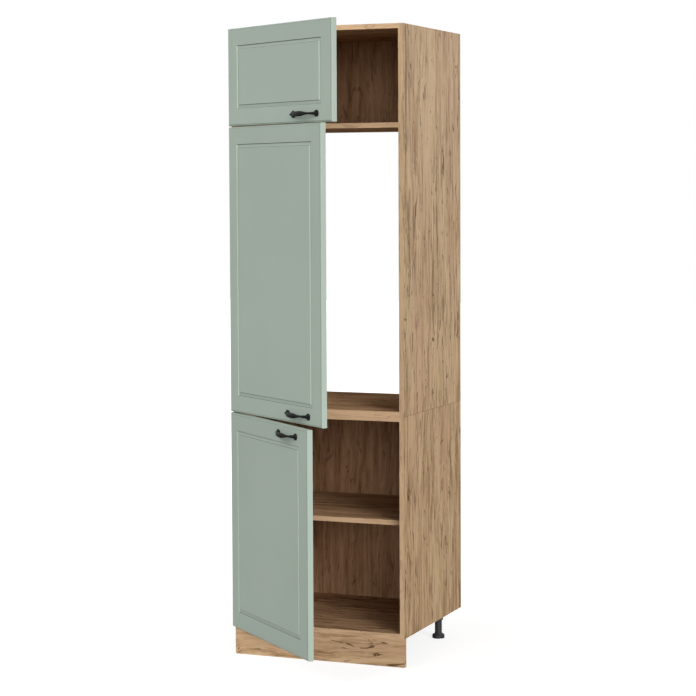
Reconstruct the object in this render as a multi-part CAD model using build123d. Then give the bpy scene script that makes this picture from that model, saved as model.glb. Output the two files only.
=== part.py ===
from build123d import *
from dataclasses import dataclass
import math
import os

os.makedirs("parts", exist_ok=True)

# Tall kitchen housing for a built-in fridge: a lower cabinet, an upper cabinet with an open
# appliance niche and a small top compartment, three hinged doors, a plinth and four feet.
# Millimetres. X runs across the front, +Y to the back and Z up. The origin lies on the floor
# in the middle of the front plane, on the lower front edge of the plinth.

# Carcass
WIDTH = 600.0
DEPTH = 560.0
HEIGHT = 2068.0
BOARD = 16.0
PLINTH_HEIGHT = 93.0
PLINTH_BOARD = 16.0
LOWER_HEIGHT = 720.0
TOP_COMPARTMENT = 298.0
NICHE_FLOOR_SETBACK = 7.0
SHELF_RISE = 364.0
SHELF_SETBACK = 33.0
SHELF_SIDE_GAP = 0.5
BACK_PANEL = 3.0
BACK_RECESS = 8.0
GROOVE_DEPTH = 6.0
GROOVE_PLAY = 0.2

# Fittings that join the boards
JOINT_INSET = 70.0
DOWEL_PITCH = 32.0
DOWEL_RADIUS = 4.0
DOWEL_LENGTH = 30.0
DOWEL_IN_SIDE = 11.0
CAM_RADIUS = 7.5
CAM_DEPTH = 12.5
CAM_SETBACK = 24.0
CAM_SLOT = (9.0, 1.4, 1.6)
BOLT_RADIUS = 3.0
BOLT_HEAD_RADIUS = 3.6
BOLT_IN_SIDE = 10.0
HOLE_PLAY = 0.1
LINK_SCREW_RADIUS = 2.0
LINK_SCREW_LENGTH = 27.0
LINK_SCREW_HEAD = (4.0, 1.5)
LINK_SCREW_INSET = 40.0
SHELF_PIN_RADIUS = 2.5
SHELF_PIN_IN_SIDE = 9.0
SHELF_PIN_OUT = 9.0
SHELF_PIN_FLANGE = (4.5, 1.2)
SHELF_PIN_INSET = 65.0

# Feet and plinth clips
FOOT_SIDE_INSET = 52.0
FOOT_REAR_INSET = 88.0
FOOT_FRONT_INSET = 72.0
FOOT_PAD_RADIUS = 21.0
FOOT_PAD_HEIGHT = 14.0
FOOT_PAD_CHAMFER = 3.0
FOOT_EAR_RADIUS = 5.0
FOOT_EARS = 4
FOOT_COLUMN_RADIUS = 12.5
FOOT_RIB = 1.0
FOOT_RIBS = 5
FOOT_BARE = 3.0
SOCKET_FLANGE = (29.0, 4.0)
SOCKET_COLLAR = (16.0, 26.0)
SOCKET_DOWEL = (5.0, 10.0, 36.0)
SOCKET_PLAY = 0.3
CLIP_PLATE = (34.0, 3.0, 44.0)
CLIP_ARM = (12.0, 16.0)
CLIP_RING = 2.4
CLIP_MOUTH = 17.0
CLIP_HEIGHT = 52.0

# Wall brackets in the top compartment
BRACKET = (24.0, 30.0, 26.0)
BRACKET_STEEL = 2.0
BRACKET_INSET = 22.0
BRACKET_HOLE_RADIUS = 3.2
BACK_HOLE_RADIUS = 4.2
BRACKET_SCREW = (2.0, 13.0)
BRACKET_SCREW_HEAD = (4.0, 2.0)

# Doors
DOOR_THICKNESS = 19.0
DOOR_CLEARANCE = 2.0
DOOR_SIDE_REVEAL = 1.5
DOOR_GAP = 3.0
DOOR_FOOT_GAP = 4.0
LEDGE_WIDTH = 4.4
LEDGE_STEP = 1.0
LEDGE_DROP = 1.6
EDGE_ROUND = 2.6
FRAME_WIDTH = 56.0
GROOVE_WALL = 1.8
GROOVE_DROP = 3.0
GROOVE_FLAT = 0.8
GROOVE_BAND = 8.4
FIELD_WALL = 1.6
FIELD_STEP = 2.0
BUFFER = (4.0, 1.6)
BUFFER_INSET = 10.0

# Handles
HANDLE_SPACING = 128.0
HANDLE_EDGE = 81.0
HANDLE_RISE = 28.0
HANDLE_REACH = 22.0
HANDLE_BOW = 0.6
HANDLE_DISC_RADIUS = 10.5
HANDLE_BUTTON = (3.4, 1.6)
HANDLE_FOOT = 3.5
LEAF_TIP = (-21.0, 0.0)
LEAF_BENDS = ((-13.0, 4.2), (-7.0, 9.0), (-1.5, 11.0), (4.0, 8.8))
LEAF_TAIL = (12.0, 5.6)
GRIP_ROOT = 5.2
GRIP_SWELL = 6.4
GRIP_SHOULDER = 0.5
GRIP_NECK = 2.3
GRIP_NECK_AT = 0.82
GRIP_END = 4.2
GRIP_END_INSET = 7.0
GRIP_FLATNESS = 0.62
GRIP_STATIONS = 11
HANDLE_SCREW_RADIUS = 2.0
HANDLE_SCREW_HEAD = (4.0, 2.4)
HANDLE_SCREW_GRIP = 3.0

# Concealed hinges. The pivots are given for the closed door, across from the outer face of the
# left side and back from the front plane. The short links are drawn at their seat angle.
ARM_PIVOT = (36.0, 1.0)
CUP_PIVOT = (9.0, -6.0)
LONG_LINK_RATIO = -0.49
ARM_PIVOT_2 = (39.9, 4.3)
CUP_PIVOT_2 = (11.4, -9.9)
SHORT_LINK_RATIO = -0.36
SHORT_LINK_SEAT = 37.0
LONG_LINK_BENDS = ((10.0, -9.8), (13.5, -11.2), (25.0, -8.8))
SHORT_LINK_BENDS = ((17.0, -17.2), (22.6, -15.8), (29.4, -5.0), (29.6, 1.0), (33.6, 7.0))
HINGE_INSET = 90.0
CUP_RADIUS = 17.5
CUP_EDGE = 3.0
CUP_DEPTH = 12.5
CUP_WALL = 1.0
CUP_FLANGE = 0.6
CUP_FLANGE_RIM = 1.0
CUP_SCREW_PITCH = 45.0
CUP_SCREW_OFFSET = 9.5
CUP_EAR_WIDTH = 10.0
CUP_SCREW = (1.8, 11.0)
CUP_SCREW_HEAD = (3.6, 1.6)
PIN_RADIUS = 1.2
PIN_PLAY = 0.05
EYE_RADIUS = 2.1
EAR_WALL = 1.5
FREE_EYE_RADIUS = 1.4
LINK_STEEL = 2.0
SHORT_LINK_HALF = 3.6
LONG_LINK_INNER = 4.2
LONG_LINK_HALF = 6.0
LINK_SIDE_PLAY = 0.4
ARM_STEEL = 1.5
ARM_LENGTH = 66.0
ARM_TOP = 27.5
ARM_FOOT = 19.4
ARM_WAIST = 20.0
ARM_THROAT = 6.0
PLATE_SCREW_Y = 37.0
PLATE_SCREW_PITCH = 32.0
PLATE_WING = (14.0, 46.0, 2.6)
PLATE_SPINE = (20.0, 64.0, 7.2)
PLATE_SCREW = (2.2, 12.0)
PLATE_SCREW_HEAD = (4.2, 2.2)
ARM_SCREW_RADIUS = 2.6
ARM_SCREW_HEAD = 1.8
ARM_SCREW_YS = (27.0, 52.0)

# Heights and faces that follow from the sizes above
LEFT = -WIDTH / 2
INNER = WIDTH / 2 - BOARD
SEAM = PLINTH_HEIGHT + LOWER_HEIGHT
NICHE_TOP = HEIGHT - TOP_COMPARTMENT - 2 * BOARD
BACK_FACE = DEPTH - BACK_RECESS - BACK_PANEL
SHELF_BOTTOM = PLINTH_HEIGHT + SHELF_RISE
DOOR_WIDTH = WIDTH - 2 * DOOR_SIDE_REVEAL
DOOR_LEFT = LEFT + DOOR_SIDE_REVEAL
DOOR_BACK = -DOOR_CLEARANCE
DOOR_FRONT = DOOR_BACK - DOOR_THICKNESS
CUP_X = DOOR_LEFT + CUP_EDGE + CUP_RADIUS
CUP_INNER = CUP_RADIUS - CUP_WALL
CUP_FLOOR = DOOR_BACK - CUP_DEPTH + CUP_WALL


@dataclass(frozen=True)
class Door:
    """One door: its name, its heights, how far it stands open and its hinges."""

    name: str
    bottom: float
    top: float
    angle: float
    hinges: int
    handle_at_top: bool = False

    @property
    def handle_z(self):
        """Height of the handle's middle line."""
        return self.top - HANDLE_RISE if self.handle_at_top else self.bottom + HANDLE_RISE

    @property
    def hinge_heights(self):
        """Heights of the hinges, spread evenly between the two end ones."""
        low = self.bottom + HINGE_INSET
        pitch = (self.top - HINGE_INSET - low) / (self.hinges - 1)
        return [low + pitch * index for index in range(self.hinges)]


CEILING_MIDDLE = NICHE_TOP + BOARD / 2
DOORS = (
    Door("top", CEILING_MIDDLE + DOOR_GAP, HEIGHT - DOOR_GAP, 33.0, 2),
    Door("middle", SEAM, CEILING_MIDDLE, 37.0, 3),
    Door("low", PLINTH_HEIGHT + DOOR_FOOT_GAP, SEAM - DOOR_GAP, 42.0, 2, True),
)


def block(across, back, up):
    """Box between two corners, each side given as a (low, high) pair."""
    centre = [(low + high) / 2 for low, high in (across, back, up)]
    size = [high - low for low, high in (across, back, up)]
    return Pos(*centre) * Box(*size)


def rod(radius, start, direction, length):
    """Cylinder from a point along a direction."""
    return extrude(Plane(origin=start, z_dir=direction) * Circle(radius), length)


def mirrored(shape):
    """The same piece on the other side of the middle."""
    return mirror(shape, about=Plane.YZ)


def save(name, pieces):
    """Write one node, made of one or more separate solids."""
    pieces = pieces if isinstance(pieces, list) else [pieces]
    solids = [solid for piece in pieces for solid in piece.solids()]
    shape = Compound(children=solids) if len(solids) > 1 else solids[0]
    export_step(shape, f"parts/{name}.step")


# Carcass boards

def joint_places():
    """Distances from the front of the two bolts, and of the dowel beside each."""
    front = JOINT_INSET
    rear = BACK_FACE - JOINT_INSET
    return (front, front + DOWEL_PITCH), (rear, rear - DOWEL_PITCH)


def board_joint_cuts(z_mid, cam_face):
    """Holes at the right end of a horizontal board: bolt bores, cam pockets and dowels."""
    cuts = []
    direction = 1 if cam_face > z_mid else -1
    for bolt_y, dowel_y in joint_places():
        bore = BOLT_RADIUS + HOLE_PLAY
        cuts.append(rod(bore, (INNER - CAM_SETBACK, bolt_y, z_mid), (1, 0, 0), CAM_SETBACK))
        start = (INNER - CAM_SETBACK, bolt_y, cam_face - direction * (CAM_DEPTH + HOLE_PLAY))
        cuts.append(rod(CAM_RADIUS + HOLE_PLAY, start, (0, 0, direction), CAM_DEPTH + HOLE_PLAY))
        reach = DOWEL_LENGTH - DOWEL_IN_SIDE + HOLE_PLAY
        hole = DOWEL_RADIUS + HOLE_PLAY
        cuts.append(rod(hole, (INNER - reach, dowel_y, z_mid), (1, 0, 0), reach))
    return cuts


def side_joint_cuts(z_mid):
    """Holes in the right side for the bolts and dowels of one horizontal board."""
    cuts = []
    for bolt_y, dowel_y in joint_places():
        bolt = BOLT_HEAD_RADIUS + HOLE_PLAY
        cuts.append(rod(bolt, (INNER, bolt_y, z_mid), (1, 0, 0), BOLT_IN_SIDE + HOLE_PLAY))
        dowel = DOWEL_RADIUS + HOLE_PLAY
        cuts.append(rod(dowel, (INNER, dowel_y, z_mid), (1, 0, 0), DOWEL_IN_SIDE + HOLE_PLAY))
    return cuts


def joint_fittings(z_mid, cam_face):
    """Cams, bolts and dowels at the right end of one horizontal board."""
    cams, bolts, dowels = [], [], []
    direction = 1 if cam_face > z_mid else -1
    slot_length, slot_width, slot_depth = CAM_SLOT
    for bolt_y, dowel_y in joint_places():
        centre = (INNER - CAM_SETBACK, bolt_y, cam_face)
        cam = rod(CAM_RADIUS, centre, (0, 0, -direction), CAM_DEPTH)
        throat = rod(BOLT_RADIUS + HOLE_PLAY, (centre[0], bolt_y, z_mid), (1, 0, 0), CAM_RADIUS)
        cross = Box(slot_length, slot_width, 2 * slot_depth) + Box(
            slot_width, slot_length, 2 * slot_depth)
        cams.append(cam - throat - Pos(*centre) * cross)
        neck = rod(BOLT_RADIUS, (INNER - CAM_SETBACK + CAM_RADIUS / 4, bolt_y, z_mid),
                   (1, 0, 0), CAM_SETBACK - CAM_RADIUS / 4)
        bolts.append(neck + rod(BOLT_HEAD_RADIUS, (INNER, bolt_y, z_mid), (1, 0, 0), BOLT_IN_SIDE))
        start = (INNER + DOWEL_IN_SIDE - DOWEL_LENGTH, dowel_y, z_mid)
        dowels.append(rod(DOWEL_RADIUS, start, (1, 0, 0), DOWEL_LENGTH))
    return cams, bolts, dowels


# Bottom height of each horizontal board, where its rear edge ends, and the side its cams face
BOARDS = {
    "bottom_panel": (PLINTH_HEIGHT, BACK_FACE, -1),
    "lower_top_panel": (SEAM - BOARD, BACK_FACE, 1),
    "niche_floor": (SEAM, DEPTH - NICHE_FLOOR_SETBACK, -1),
    "niche_ceiling": (NICHE_TOP, BACK_FACE, 1),
    "top_panel": (HEIGHT - BOARD, BACK_FACE, 1),
}


def board_levels(bottom, cam_side):
    """Middle height of a board and the height of the face its cams are let into."""
    return bottom + BOARD / 2, bottom + BOARD if cam_side > 0 else bottom


def link_screw_places():
    """Corners where screws hold the upper cabinet on the lower one."""
    across = INNER - LINK_SCREW_INSET
    return [(x, y) for x in (-across, across) for y in (LINK_SCREW_INSET, BACK_FACE - LINK_SCREW_INSET)]


def foot_places():
    """Middle of each foot, with its name."""
    across = WIDTH / 2 - FOOT_SIDE_INSET
    rear = DEPTH - FOOT_REAR_INSET
    return {
        "front_left": (-across, FOOT_FRONT_INSET),
        "front_right": (across, FOOT_FRONT_INSET),
        "rear_left": (-across, rear),
        "rear_right": (across, rear),
    }


def socket_dowel_places():
    """Places of the two moulded dowels on top of each foot socket."""
    half = SOCKET_DOWEL[2] / 2
    return [(x, y + shift) for x, y in foot_places().values() for shift in (-half, half)]


def horizontal_board(name):
    """One board between the sides, with its joint holes."""
    bottom, rear, cam_side = BOARDS[name]
    board = block((-INNER, INNER), (0, rear), (bottom, bottom + BOARD))
    z_mid, cam_face = board_levels(bottom, cam_side)
    cuts = board_joint_cuts(z_mid, cam_face)
    cuts += [mirrored(cut) for cut in cuts]
    if name in ("lower_top_panel", "niche_floor"):
        hole = LINK_SCREW_RADIUS + HOLE_PLAY
        for x, y in link_screw_places():
            cuts.append(rod(hole, (x, y, SEAM - BOARD), (0, 0, 1), LINK_SCREW_LENGTH + HOLE_PLAY))
    if name == "top_panel":
        pilot = BRACKET_SCREW[0] + HOLE_PLAY
        for x in bracket_xs():
            cuts.append(rod(pilot, (x, bracket_screw_y(), bottom), (0, 0, 1), BRACKET_SCREW[1]))
    if name == "bottom_panel":
        radius, height, _ = SOCKET_DOWEL
        for x, y in socket_dowel_places():
            cuts.append(rod(radius + HOLE_PLAY, (x, y, bottom), (0, 0, 1), height + HOLE_PLAY))
    return board - cuts


def shelf_pin_places():
    """Distances from the front of the two shelf pins on each side."""
    return SHELF_SETBACK + SHELF_PIN_INSET, BACK_FACE - SHELF_PIN_INSET


def side_board(bottom, top, names):
    """Right side of a cabinet: back groove, joint holes and shelf pin holes."""
    board = block((INNER, WIDTH / 2), (0, DEPTH), (bottom, top))
    groove = block((INNER, INNER + GROOVE_DEPTH + GROOVE_PLAY),
                   (BACK_FACE - GROOVE_PLAY / 2, BACK_FACE + BACK_PANEL + GROOVE_PLAY / 2),
                   (bottom, top))
    cuts = [groove]
    for name in names:
        z_mid, _ = board_levels(BOARDS[name][0], BOARDS[name][2])
        cuts += side_joint_cuts(z_mid)
    if bottom < SHELF_BOTTOM < top:
        radius = SHELF_PIN_RADIUS + HOLE_PLAY
        z_pin = SHELF_BOTTOM - SHELF_PIN_RADIUS
        for y in shelf_pin_places():
            cuts.append(rod(radius, (INNER, y, z_pin), (1, 0, 0), SHELF_PIN_IN_SIDE + HOLE_PLAY))
    return board - cuts


def plate_screw_cuts(bottom, top):
    """Pilot holes of the hinge plates in the left side."""
    cuts = []
    for door in DOORS:
        for z in door.hinge_heights:
            if bottom < z < top:
                for shift in (-PLATE_SCREW_PITCH / 2, PLATE_SCREW_PITCH / 2):
                    start = (-INNER, PLATE_SCREW_Y, z + shift)
                    cuts.append(rod(PLATE_SCREW[0] + HOLE_PLAY, start, (-1, 0, 0),
                                    PLATE_SCREW[1] + HOLE_PLAY))
    return cuts


def save_sides():
    """The two sides of the lower and of the upper cabinet."""
    cabinets = {
        "lower": (PLINTH_HEIGHT, SEAM, ("bottom_panel", "lower_top_panel")),
        "upper": (SEAM, HEIGHT, ("niche_floor", "niche_ceiling", "top_panel")),
    }
    for cabinet, (bottom, top, names) in cabinets.items():
        right = side_board(bottom, top, names)
        save(f"{cabinet}_right_side", right)
        save(f"{cabinet}_left_side", mirrored(right) - plate_screw_cuts(bottom, top))


def back_panel(bottom, top):
    """Thin back, held in the grooves of the sides and behind the boards."""
    reach = INNER + GROOVE_DEPTH
    panel = block((-reach, reach), (BACK_FACE, BACK_FACE + BACK_PANEL), (bottom, top))
    return panel


def shelf():
    """Loose shelf of the lower cabinet."""
    reach = INNER - SHELF_SIDE_GAP
    return block((-reach, reach), (SHELF_SETBACK, BACK_FACE), (SHELF_BOTTOM, SHELF_BOTTOM + BOARD))


def shelf_pins():
    """Four pins that carry the shelf, each with a thin collar against the side."""
    collar_radius, collar = SHELF_PIN_FLANGE
    pins = []
    z_pin = SHELF_BOTTOM - SHELF_PIN_RADIUS
    for y in shelf_pin_places():
        pin = rod(SHELF_PIN_RADIUS, (INNER - SHELF_PIN_OUT, y, z_pin), (1, 0, 0),
                  SHELF_PIN_OUT + SHELF_PIN_IN_SIDE)
        rim = rod(collar_radius, (INNER - collar, y, z_pin), (1, 0, 0), collar)
        trim = block((INNER - collar, INNER), (y - 2 * collar_radius, y + 2 * collar_radius),
                     (SHELF_BOTTOM, SHELF_BOTTOM + 2 * collar_radius))
        pins.append(pin + (rim - trim))
    return pins + [mirrored(pin) for pin in pins]


def save_carcass():
    """Boards, backs, shelf and the fittings that join them."""
    save_sides()
    cams, bolts, dowels = [], [], []
    for name, (bottom, _, cam_side) in BOARDS.items():
        save(name, horizontal_board(name))
        z_mid, cam_face = board_levels(bottom, cam_side)
        for group, made in zip((cams, bolts, dowels), joint_fittings(z_mid, cam_face)):
            group += made + [mirrored(piece) for piece in made]
    save("cam_housings", cams)
    save("cam_bolts", bolts)
    save("wooden_dowels", dowels)
    save("lower_back_panel", back_panel(PLINTH_HEIGHT, SEAM))
    save("top_back_panel", top_back())
    save("lower_shelf", shelf())
    save("shelf_pins", shelf_pins())
    screws = []
    for x, y in link_screw_places():
        screws.append(screw((LINK_SCREW_RADIUS, LINK_SCREW_LENGTH), LINK_SCREW_HEAD,
                            (x, y, SEAM - BOARD), (0, 0, 1)))
    save("cabinet_screws", screws)


# Wall brackets

def bracket_xs():
    """Middle of each wall bracket across the cabinet."""
    across = INNER - BRACKET_INSET
    return -across, across


def bracket_height():
    """Height of the wall screw's hole."""
    return HEIGHT - BOARD - BRACKET[2] / 2


def top_back():
    """Back of the top compartment, with a hole behind each wall bracket."""
    panel = back_panel(NICHE_TOP, HEIGHT)
    holes = [rod(BACK_HOLE_RADIUS, (x, BACK_FACE, bracket_height()), (0, 1, 0), BACK_PANEL)
             for x in bracket_xs()]
    return panel - holes


def bracket_screw_y():
    """Distance from the front of the screw that holds a bracket to the top panel."""
    return BACK_FACE - (BRACKET[1] + BRACKET_STEEL) / 2


def wall_brackets():
    """Two steel angles under the top panel, against the back."""
    width, depth, height = BRACKET
    under = HEIGHT - BOARD
    pieces = []
    for x in bracket_xs():
        across = (x - width / 2, x + width / 2)
        flange = block(across, (BACK_FACE - depth, BACK_FACE), (under - BRACKET_STEEL, under))
        web = block(across, (BACK_FACE - BRACKET_STEEL, BACK_FACE), (under - height, under))
        hole = rod(BRACKET_HOLE_RADIUS, (x, BACK_FACE, bracket_height()), (0, -1, 0), BRACKET_STEEL)
        pilot = rod(BRACKET_SCREW[0] + HOLE_PLAY, (x, bracket_screw_y(), under), (0, 0, -1),
                    BRACKET_STEEL)
        pieces.append(flange + web - hole - pilot)
    return pieces


def save_brackets():
    """Wall brackets with the screw that holds each to the top panel."""
    save("wall_brackets", wall_brackets())
    radius, depth = BRACKET_SCREW
    start = HEIGHT - BOARD - BRACKET_STEEL
    save("bracket_screws", [screw((radius, depth), BRACKET_SCREW_HEAD,
                                  (x, bracket_screw_y(), start), (0, 0, 1)) for x in bracket_xs()])


# Feet, plinth and clips

def foot(x, y):
    """Adjustable foot: eared pad, ribbed column and the neck that sits in its socket."""
    pad = rod(FOOT_PAD_RADIUS, (x, y, 0), (0, 0, 1), FOOT_PAD_HEIGHT)
    pad = chamfer(pad.edges().group_by(Axis.Z)[-1], FOOT_PAD_CHAMFER)
    notch = FOOT_PAD_RADIUS + FOOT_EAR_RADIUS / 3
    for index in range(FOOT_EARS):
        turn = math.radians(45 + 360 * index / FOOT_EARS)
        place = (x + notch * math.cos(turn), y + notch * math.sin(turn), 0)
        pad -= rod(FOOT_EAR_RADIUS, place, (0, 0, 1), FOOT_PAD_HEIGHT)
    top = PLINTH_HEIGHT - SOCKET_FLANGE[1]
    column = rod(FOOT_COLUMN_RADIUS - FOOT_RIB, (x, y, 0), (0, 0, 1), top)
    low = FOOT_PAD_HEIGHT + FOOT_BARE
    high = top - SOCKET_COLLAR[1]
    pitch = (high - low) / FOOT_RIBS
    for index in range(FOOT_RIBS):
        column += rod(FOOT_COLUMN_RADIUS, (x, y, low + pitch * index), (0, 0, 1), pitch / 2)
    return pad + column


def foot_socket(x, y):
    """Socket under the bottom panel: flange, collar and two moulded dowels."""
    flange_radius, flange = SOCKET_FLANGE
    collar_radius, collar = SOCKET_COLLAR
    dowel_radius, dowel, pitch = SOCKET_DOWEL
    body = rod(flange_radius, (x, y, PLINTH_HEIGHT), (0, 0, -1), flange)
    body += rod(collar_radius, (x, y, PLINTH_HEIGHT - flange), (0, 0, -1), collar)
    for shift in (-pitch / 2, pitch / 2):
        body += rod(dowel_radius, (x, y + shift, PLINTH_HEIGHT), (0, 0, 1), dowel)
    bore = rod(FOOT_COLUMN_RADIUS - FOOT_RIB + SOCKET_PLAY, (x, y, PLINTH_HEIGHT - flange),
               (0, 0, -1), collar)
    return body - bore


def plinth_clip(x, y):
    """Clip behind the plinth: screwed plate, arm and an open ring round the foot."""
    width, plate, height = CLIP_PLATE
    arm_width, arm_height = CLIP_ARM
    low = CLIP_HEIGHT - height / 2
    body = block((x - width / 2, x + width / 2), (PLINTH_BOARD, PLINTH_BOARD + plate),
                 (low, low + height))
    inner = FOOT_COLUMN_RADIUS + SOCKET_PLAY
    middle = CLIP_HEIGHT - arm_height / 2
    ring = rod(inner + CLIP_RING, (x, y, middle), (0, 0, 1), arm_height)
    arm = block((x - arm_width / 2, x + arm_width / 2), (PLINTH_BOARD + plate, y),
                (middle, middle + arm_height))
    body += ring + arm
    body -= rod(inner, (x, y, middle), (0, 0, 1), arm_height)
    mouth = block((x - CLIP_MOUTH / 2, x + CLIP_MOUTH / 2), (y, y + 2 * inner),
                  (middle, middle + arm_height))
    return body - mouth


def save_base():
    """Plinth, its clips and the four feet."""
    half = WIDTH / 2
    save("plinth", block((-half, half), (0, PLINTH_BOARD), (0, PLINTH_HEIGHT)))
    places = foot_places()
    save("plinth_clips", [plinth_clip(*places[name]) for name in ("front_left", "front_right")])
    for name, place in places.items():
        save(f"{name}_foot", foot(*place))
    save("foot_sockets", [foot_socket(*place) for place in places.values()])


# Hinge motion

def offset_point(pivot):
    """Hinge pivot in the plan, in the part's own frame."""
    return LEFT + pivot[0], pivot[1]


def turned(point, centre, angle):
    """Point in the plan, turned clockwise about a centre by an angle in degrees."""
    turn = math.radians(-angle)
    across, back = point[0] - centre[0], point[1] - centre[1]
    return (centre[0] + across * math.cos(turn) - back * math.sin(turn),
            centre[1] + across * math.sin(turn) + back * math.cos(turn))


def swing(centre, angle):
    """Movement that turns a piece clockwise about an upright axis."""
    return Pos(centre[0], centre[1], 0) * Rot(0, 0, -angle) * Pos(-centre[0], -centre[1], 0)


def door_motion(angle):
    """Movement of a door from closed to an opening angle, carried by its long links."""
    arm, cup = offset_point(ARM_PIVOT), offset_point(CUP_PIVOT)
    carried = turned(cup, arm, LONG_LINK_RATIO * angle)
    return Pos(carried[0] - cup[0], carried[1] - cup[1], 0) * swing(cup, angle)


# Doors

def tier(door, inset, depth, inset_2, depth_2):
    """Solid between two rectangles, inset from the door's edges at two depths in its face."""
    middle = (DOOR_LEFT + DOOR_WIDTH / 2, (door.bottom + door.top) / 2)
    sections = []
    for edge, sink in ((inset, depth), (inset_2, depth_2)):
        plane = Plane(origin=(middle[0], DOOR_FRONT + sink, middle[1]), x_dir=(1, 0, 0),
                      z_dir=(0, 1, 0))
        size = (DOOR_WIDTH - 2 * edge, door.top - door.bottom - 2 * edge)
        sections.append(plane * Rectangle(*size))
    return loft(sections)


def door_leaf(door):
    """Door board with its rounded ledge, routed frame, cup pockets and handle holes."""
    slab = tier(door, 0, LEDGE_DROP, 0, DOOR_THICKNESS)
    slab = fillet(slab.edges().group_by(Axis.Y)[0], EDGE_ROUND)
    slab += tier(door, LEDGE_WIDTH + LEDGE_STEP, 0, LEDGE_WIDTH, LEDGE_DROP)
    wall = FRAME_WIDTH + GROOVE_WALL
    band = wall + GROOVE_FLAT
    crest = band + GROOVE_BAND
    groove = tier(door, FRAME_WIDTH, 0, wall, GROOVE_DROP)
    groove -= tier(door, crest + FIELD_WALL, 0, crest, FIELD_STEP) + tier(
        door, crest, FIELD_STEP, band, GROOVE_DROP)
    slab -= groove
    cuts = []
    pilot = CUP_SCREW[0] + HOLE_PLAY
    for z in door.hinge_heights:
        cuts.append(rod(CUP_RADIUS + HOLE_PLAY, (CUP_X, DOOR_BACK, z), (0, -1, 0),
                        CUP_DEPTH + HOLE_PLAY))
        for shift in (-CUP_SCREW_PITCH / 2, CUP_SCREW_PITCH / 2):
            cuts.append(rod(pilot, (CUP_X + CUP_SCREW_OFFSET, DOOR_BACK, z + shift), (0, -1, 0),
                            CUP_SCREW[1] + HOLE_PLAY))
    for x in handle_screw_xs():
        cuts.append(rod(HANDLE_SCREW_RADIUS + HOLE_PLAY, (x, DOOR_FRONT, door.handle_z), (0, 1, 0),
                        DOOR_THICKNESS))
    return slab - cuts


def door_buffers(door):
    """Two small bumpers on the back of the door, near the free edge."""
    radius, thickness = BUFFER
    x = DOOR_LEFT + DOOR_WIDTH - BUFFER_INSET
    heights = (door.bottom + BUFFER_INSET, door.top - BUFFER_INSET)
    return [rod(radius, (x, DOOR_BACK, z), (0, 1, 0), thickness) for z in heights]


# Handles

def handle_screw_xs():
    """Places of the two handle screws across the door."""
    disc = DOOR_LEFT + DOOR_WIDTH - HANDLE_EDGE
    return disc - HANDLE_SPACING, disc


def eased(start, end, share):
    """Smooth change from one value to another as the share goes from 0 to 1."""
    return start + (end - start) * (1 - math.cos(math.pi * share)) / 2


def grip_height(share):
    """Half height of the grip: swells from the leaf, draws in at the neck, flares at the disc."""
    if share < GRIP_SHOULDER:
        return eased(GRIP_ROOT, GRIP_SWELL, share / GRIP_SHOULDER)
    if share < GRIP_NECK_AT:
        return eased(GRIP_SWELL, GRIP_NECK, (share - GRIP_SHOULDER) / (GRIP_NECK_AT - GRIP_SHOULDER))
    return eased(GRIP_NECK, GRIP_END, (share - GRIP_NECK_AT) / (1 - GRIP_NECK_AT))


def grip_point(share):
    """Point of the grip's middle line: distance from the leaf's screw and from the door's face."""
    run = (HANDLE_SPACING - GRIP_END_INSET) * share
    return run, HANDLE_FOOT / 2 + HANDLE_REACH * math.sin(math.pi * share) ** HANDLE_BOW


def grip():
    """Bowed bar between the two feet, lofted through upright ellipses."""
    sections = []
    for index in range(GRIP_STATIONS):
        share = index / (GRIP_STATIONS - 1)
        step = 1 / (GRIP_STATIONS - 1) / 8
        before, after = grip_point(max(share - step, 0)), grip_point(min(share + step, 1))
        run, reach = grip_point(share)
        plane = Plane(origin=(run, -reach, 0), x_dir=(0, 0, 1),
                      z_dir=(after[0] - before[0], before[1] - after[1], 0))
        half = grip_height(share)
        sections.append(plane * Ellipse(half, max(half * GRIP_FLATNESS, GRIP_NECK)))
    return loft(sections)


def leaf_foot():
    """Leaf-shaped foot with a pointed tip and a round lobe on each side."""
    upper = Spline(LEAF_TIP, *LEAF_BENDS, LEAF_TAIL)
    lower = Spline(*[(along, -up) for along, up in (LEAF_TIP, *LEAF_BENDS, LEAF_TAIL)])
    tail = Line(LEAF_TAIL, (LEAF_TAIL[0], -LEAF_TAIL[1]))
    plane = Plane(origin=(0, 0, 0), x_dir=(1, 0, 0), z_dir=(0, -1, 0))
    leaf = extrude(plane * make_face(Curve() + [upper, lower, tail]), HANDLE_FOOT)
    return chamfer(leaf.edges().group_by(Axis.Y)[0], HANDLE_FOOT / 3)


def disc_foot():
    """Round foot with a softened rim and a button in its middle."""
    radius, height = HANDLE_BUTTON
    disc = rod(HANDLE_DISC_RADIUS, (HANDLE_SPACING, 0, 0), (0, -1, 0), HANDLE_FOOT)
    disc = fillet(disc.edges().group_by(Axis.Y)[0], HANDLE_FOOT / 2)
    button = rod(radius, (HANDLE_SPACING, 0, 0), (0, -1, 0), HANDLE_FOOT + height)
    return disc + fillet(button.edges().group_by(Axis.Y)[0], height)


def handle():
    """Rustic pull: leaf-shaped foot, bowed grip and round foot, with two threaded bores."""
    body = leaf_foot() + disc_foot() + grip()
    behind = block((-HANDLE_SPACING, 2 * HANDLE_SPACING), (0, HANDLE_REACH),
                   (-HANDLE_SPACING, HANDLE_SPACING))
    bores = [rod(HANDLE_SCREW_RADIUS + HOLE_PLAY, (x, 0, 0), (0, -1, 0), HANDLE_SCREW_GRIP + HOLE_PLAY)
             for x in (0, HANDLE_SPACING)]
    return body - behind - bores


# Concealed hinges

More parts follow.
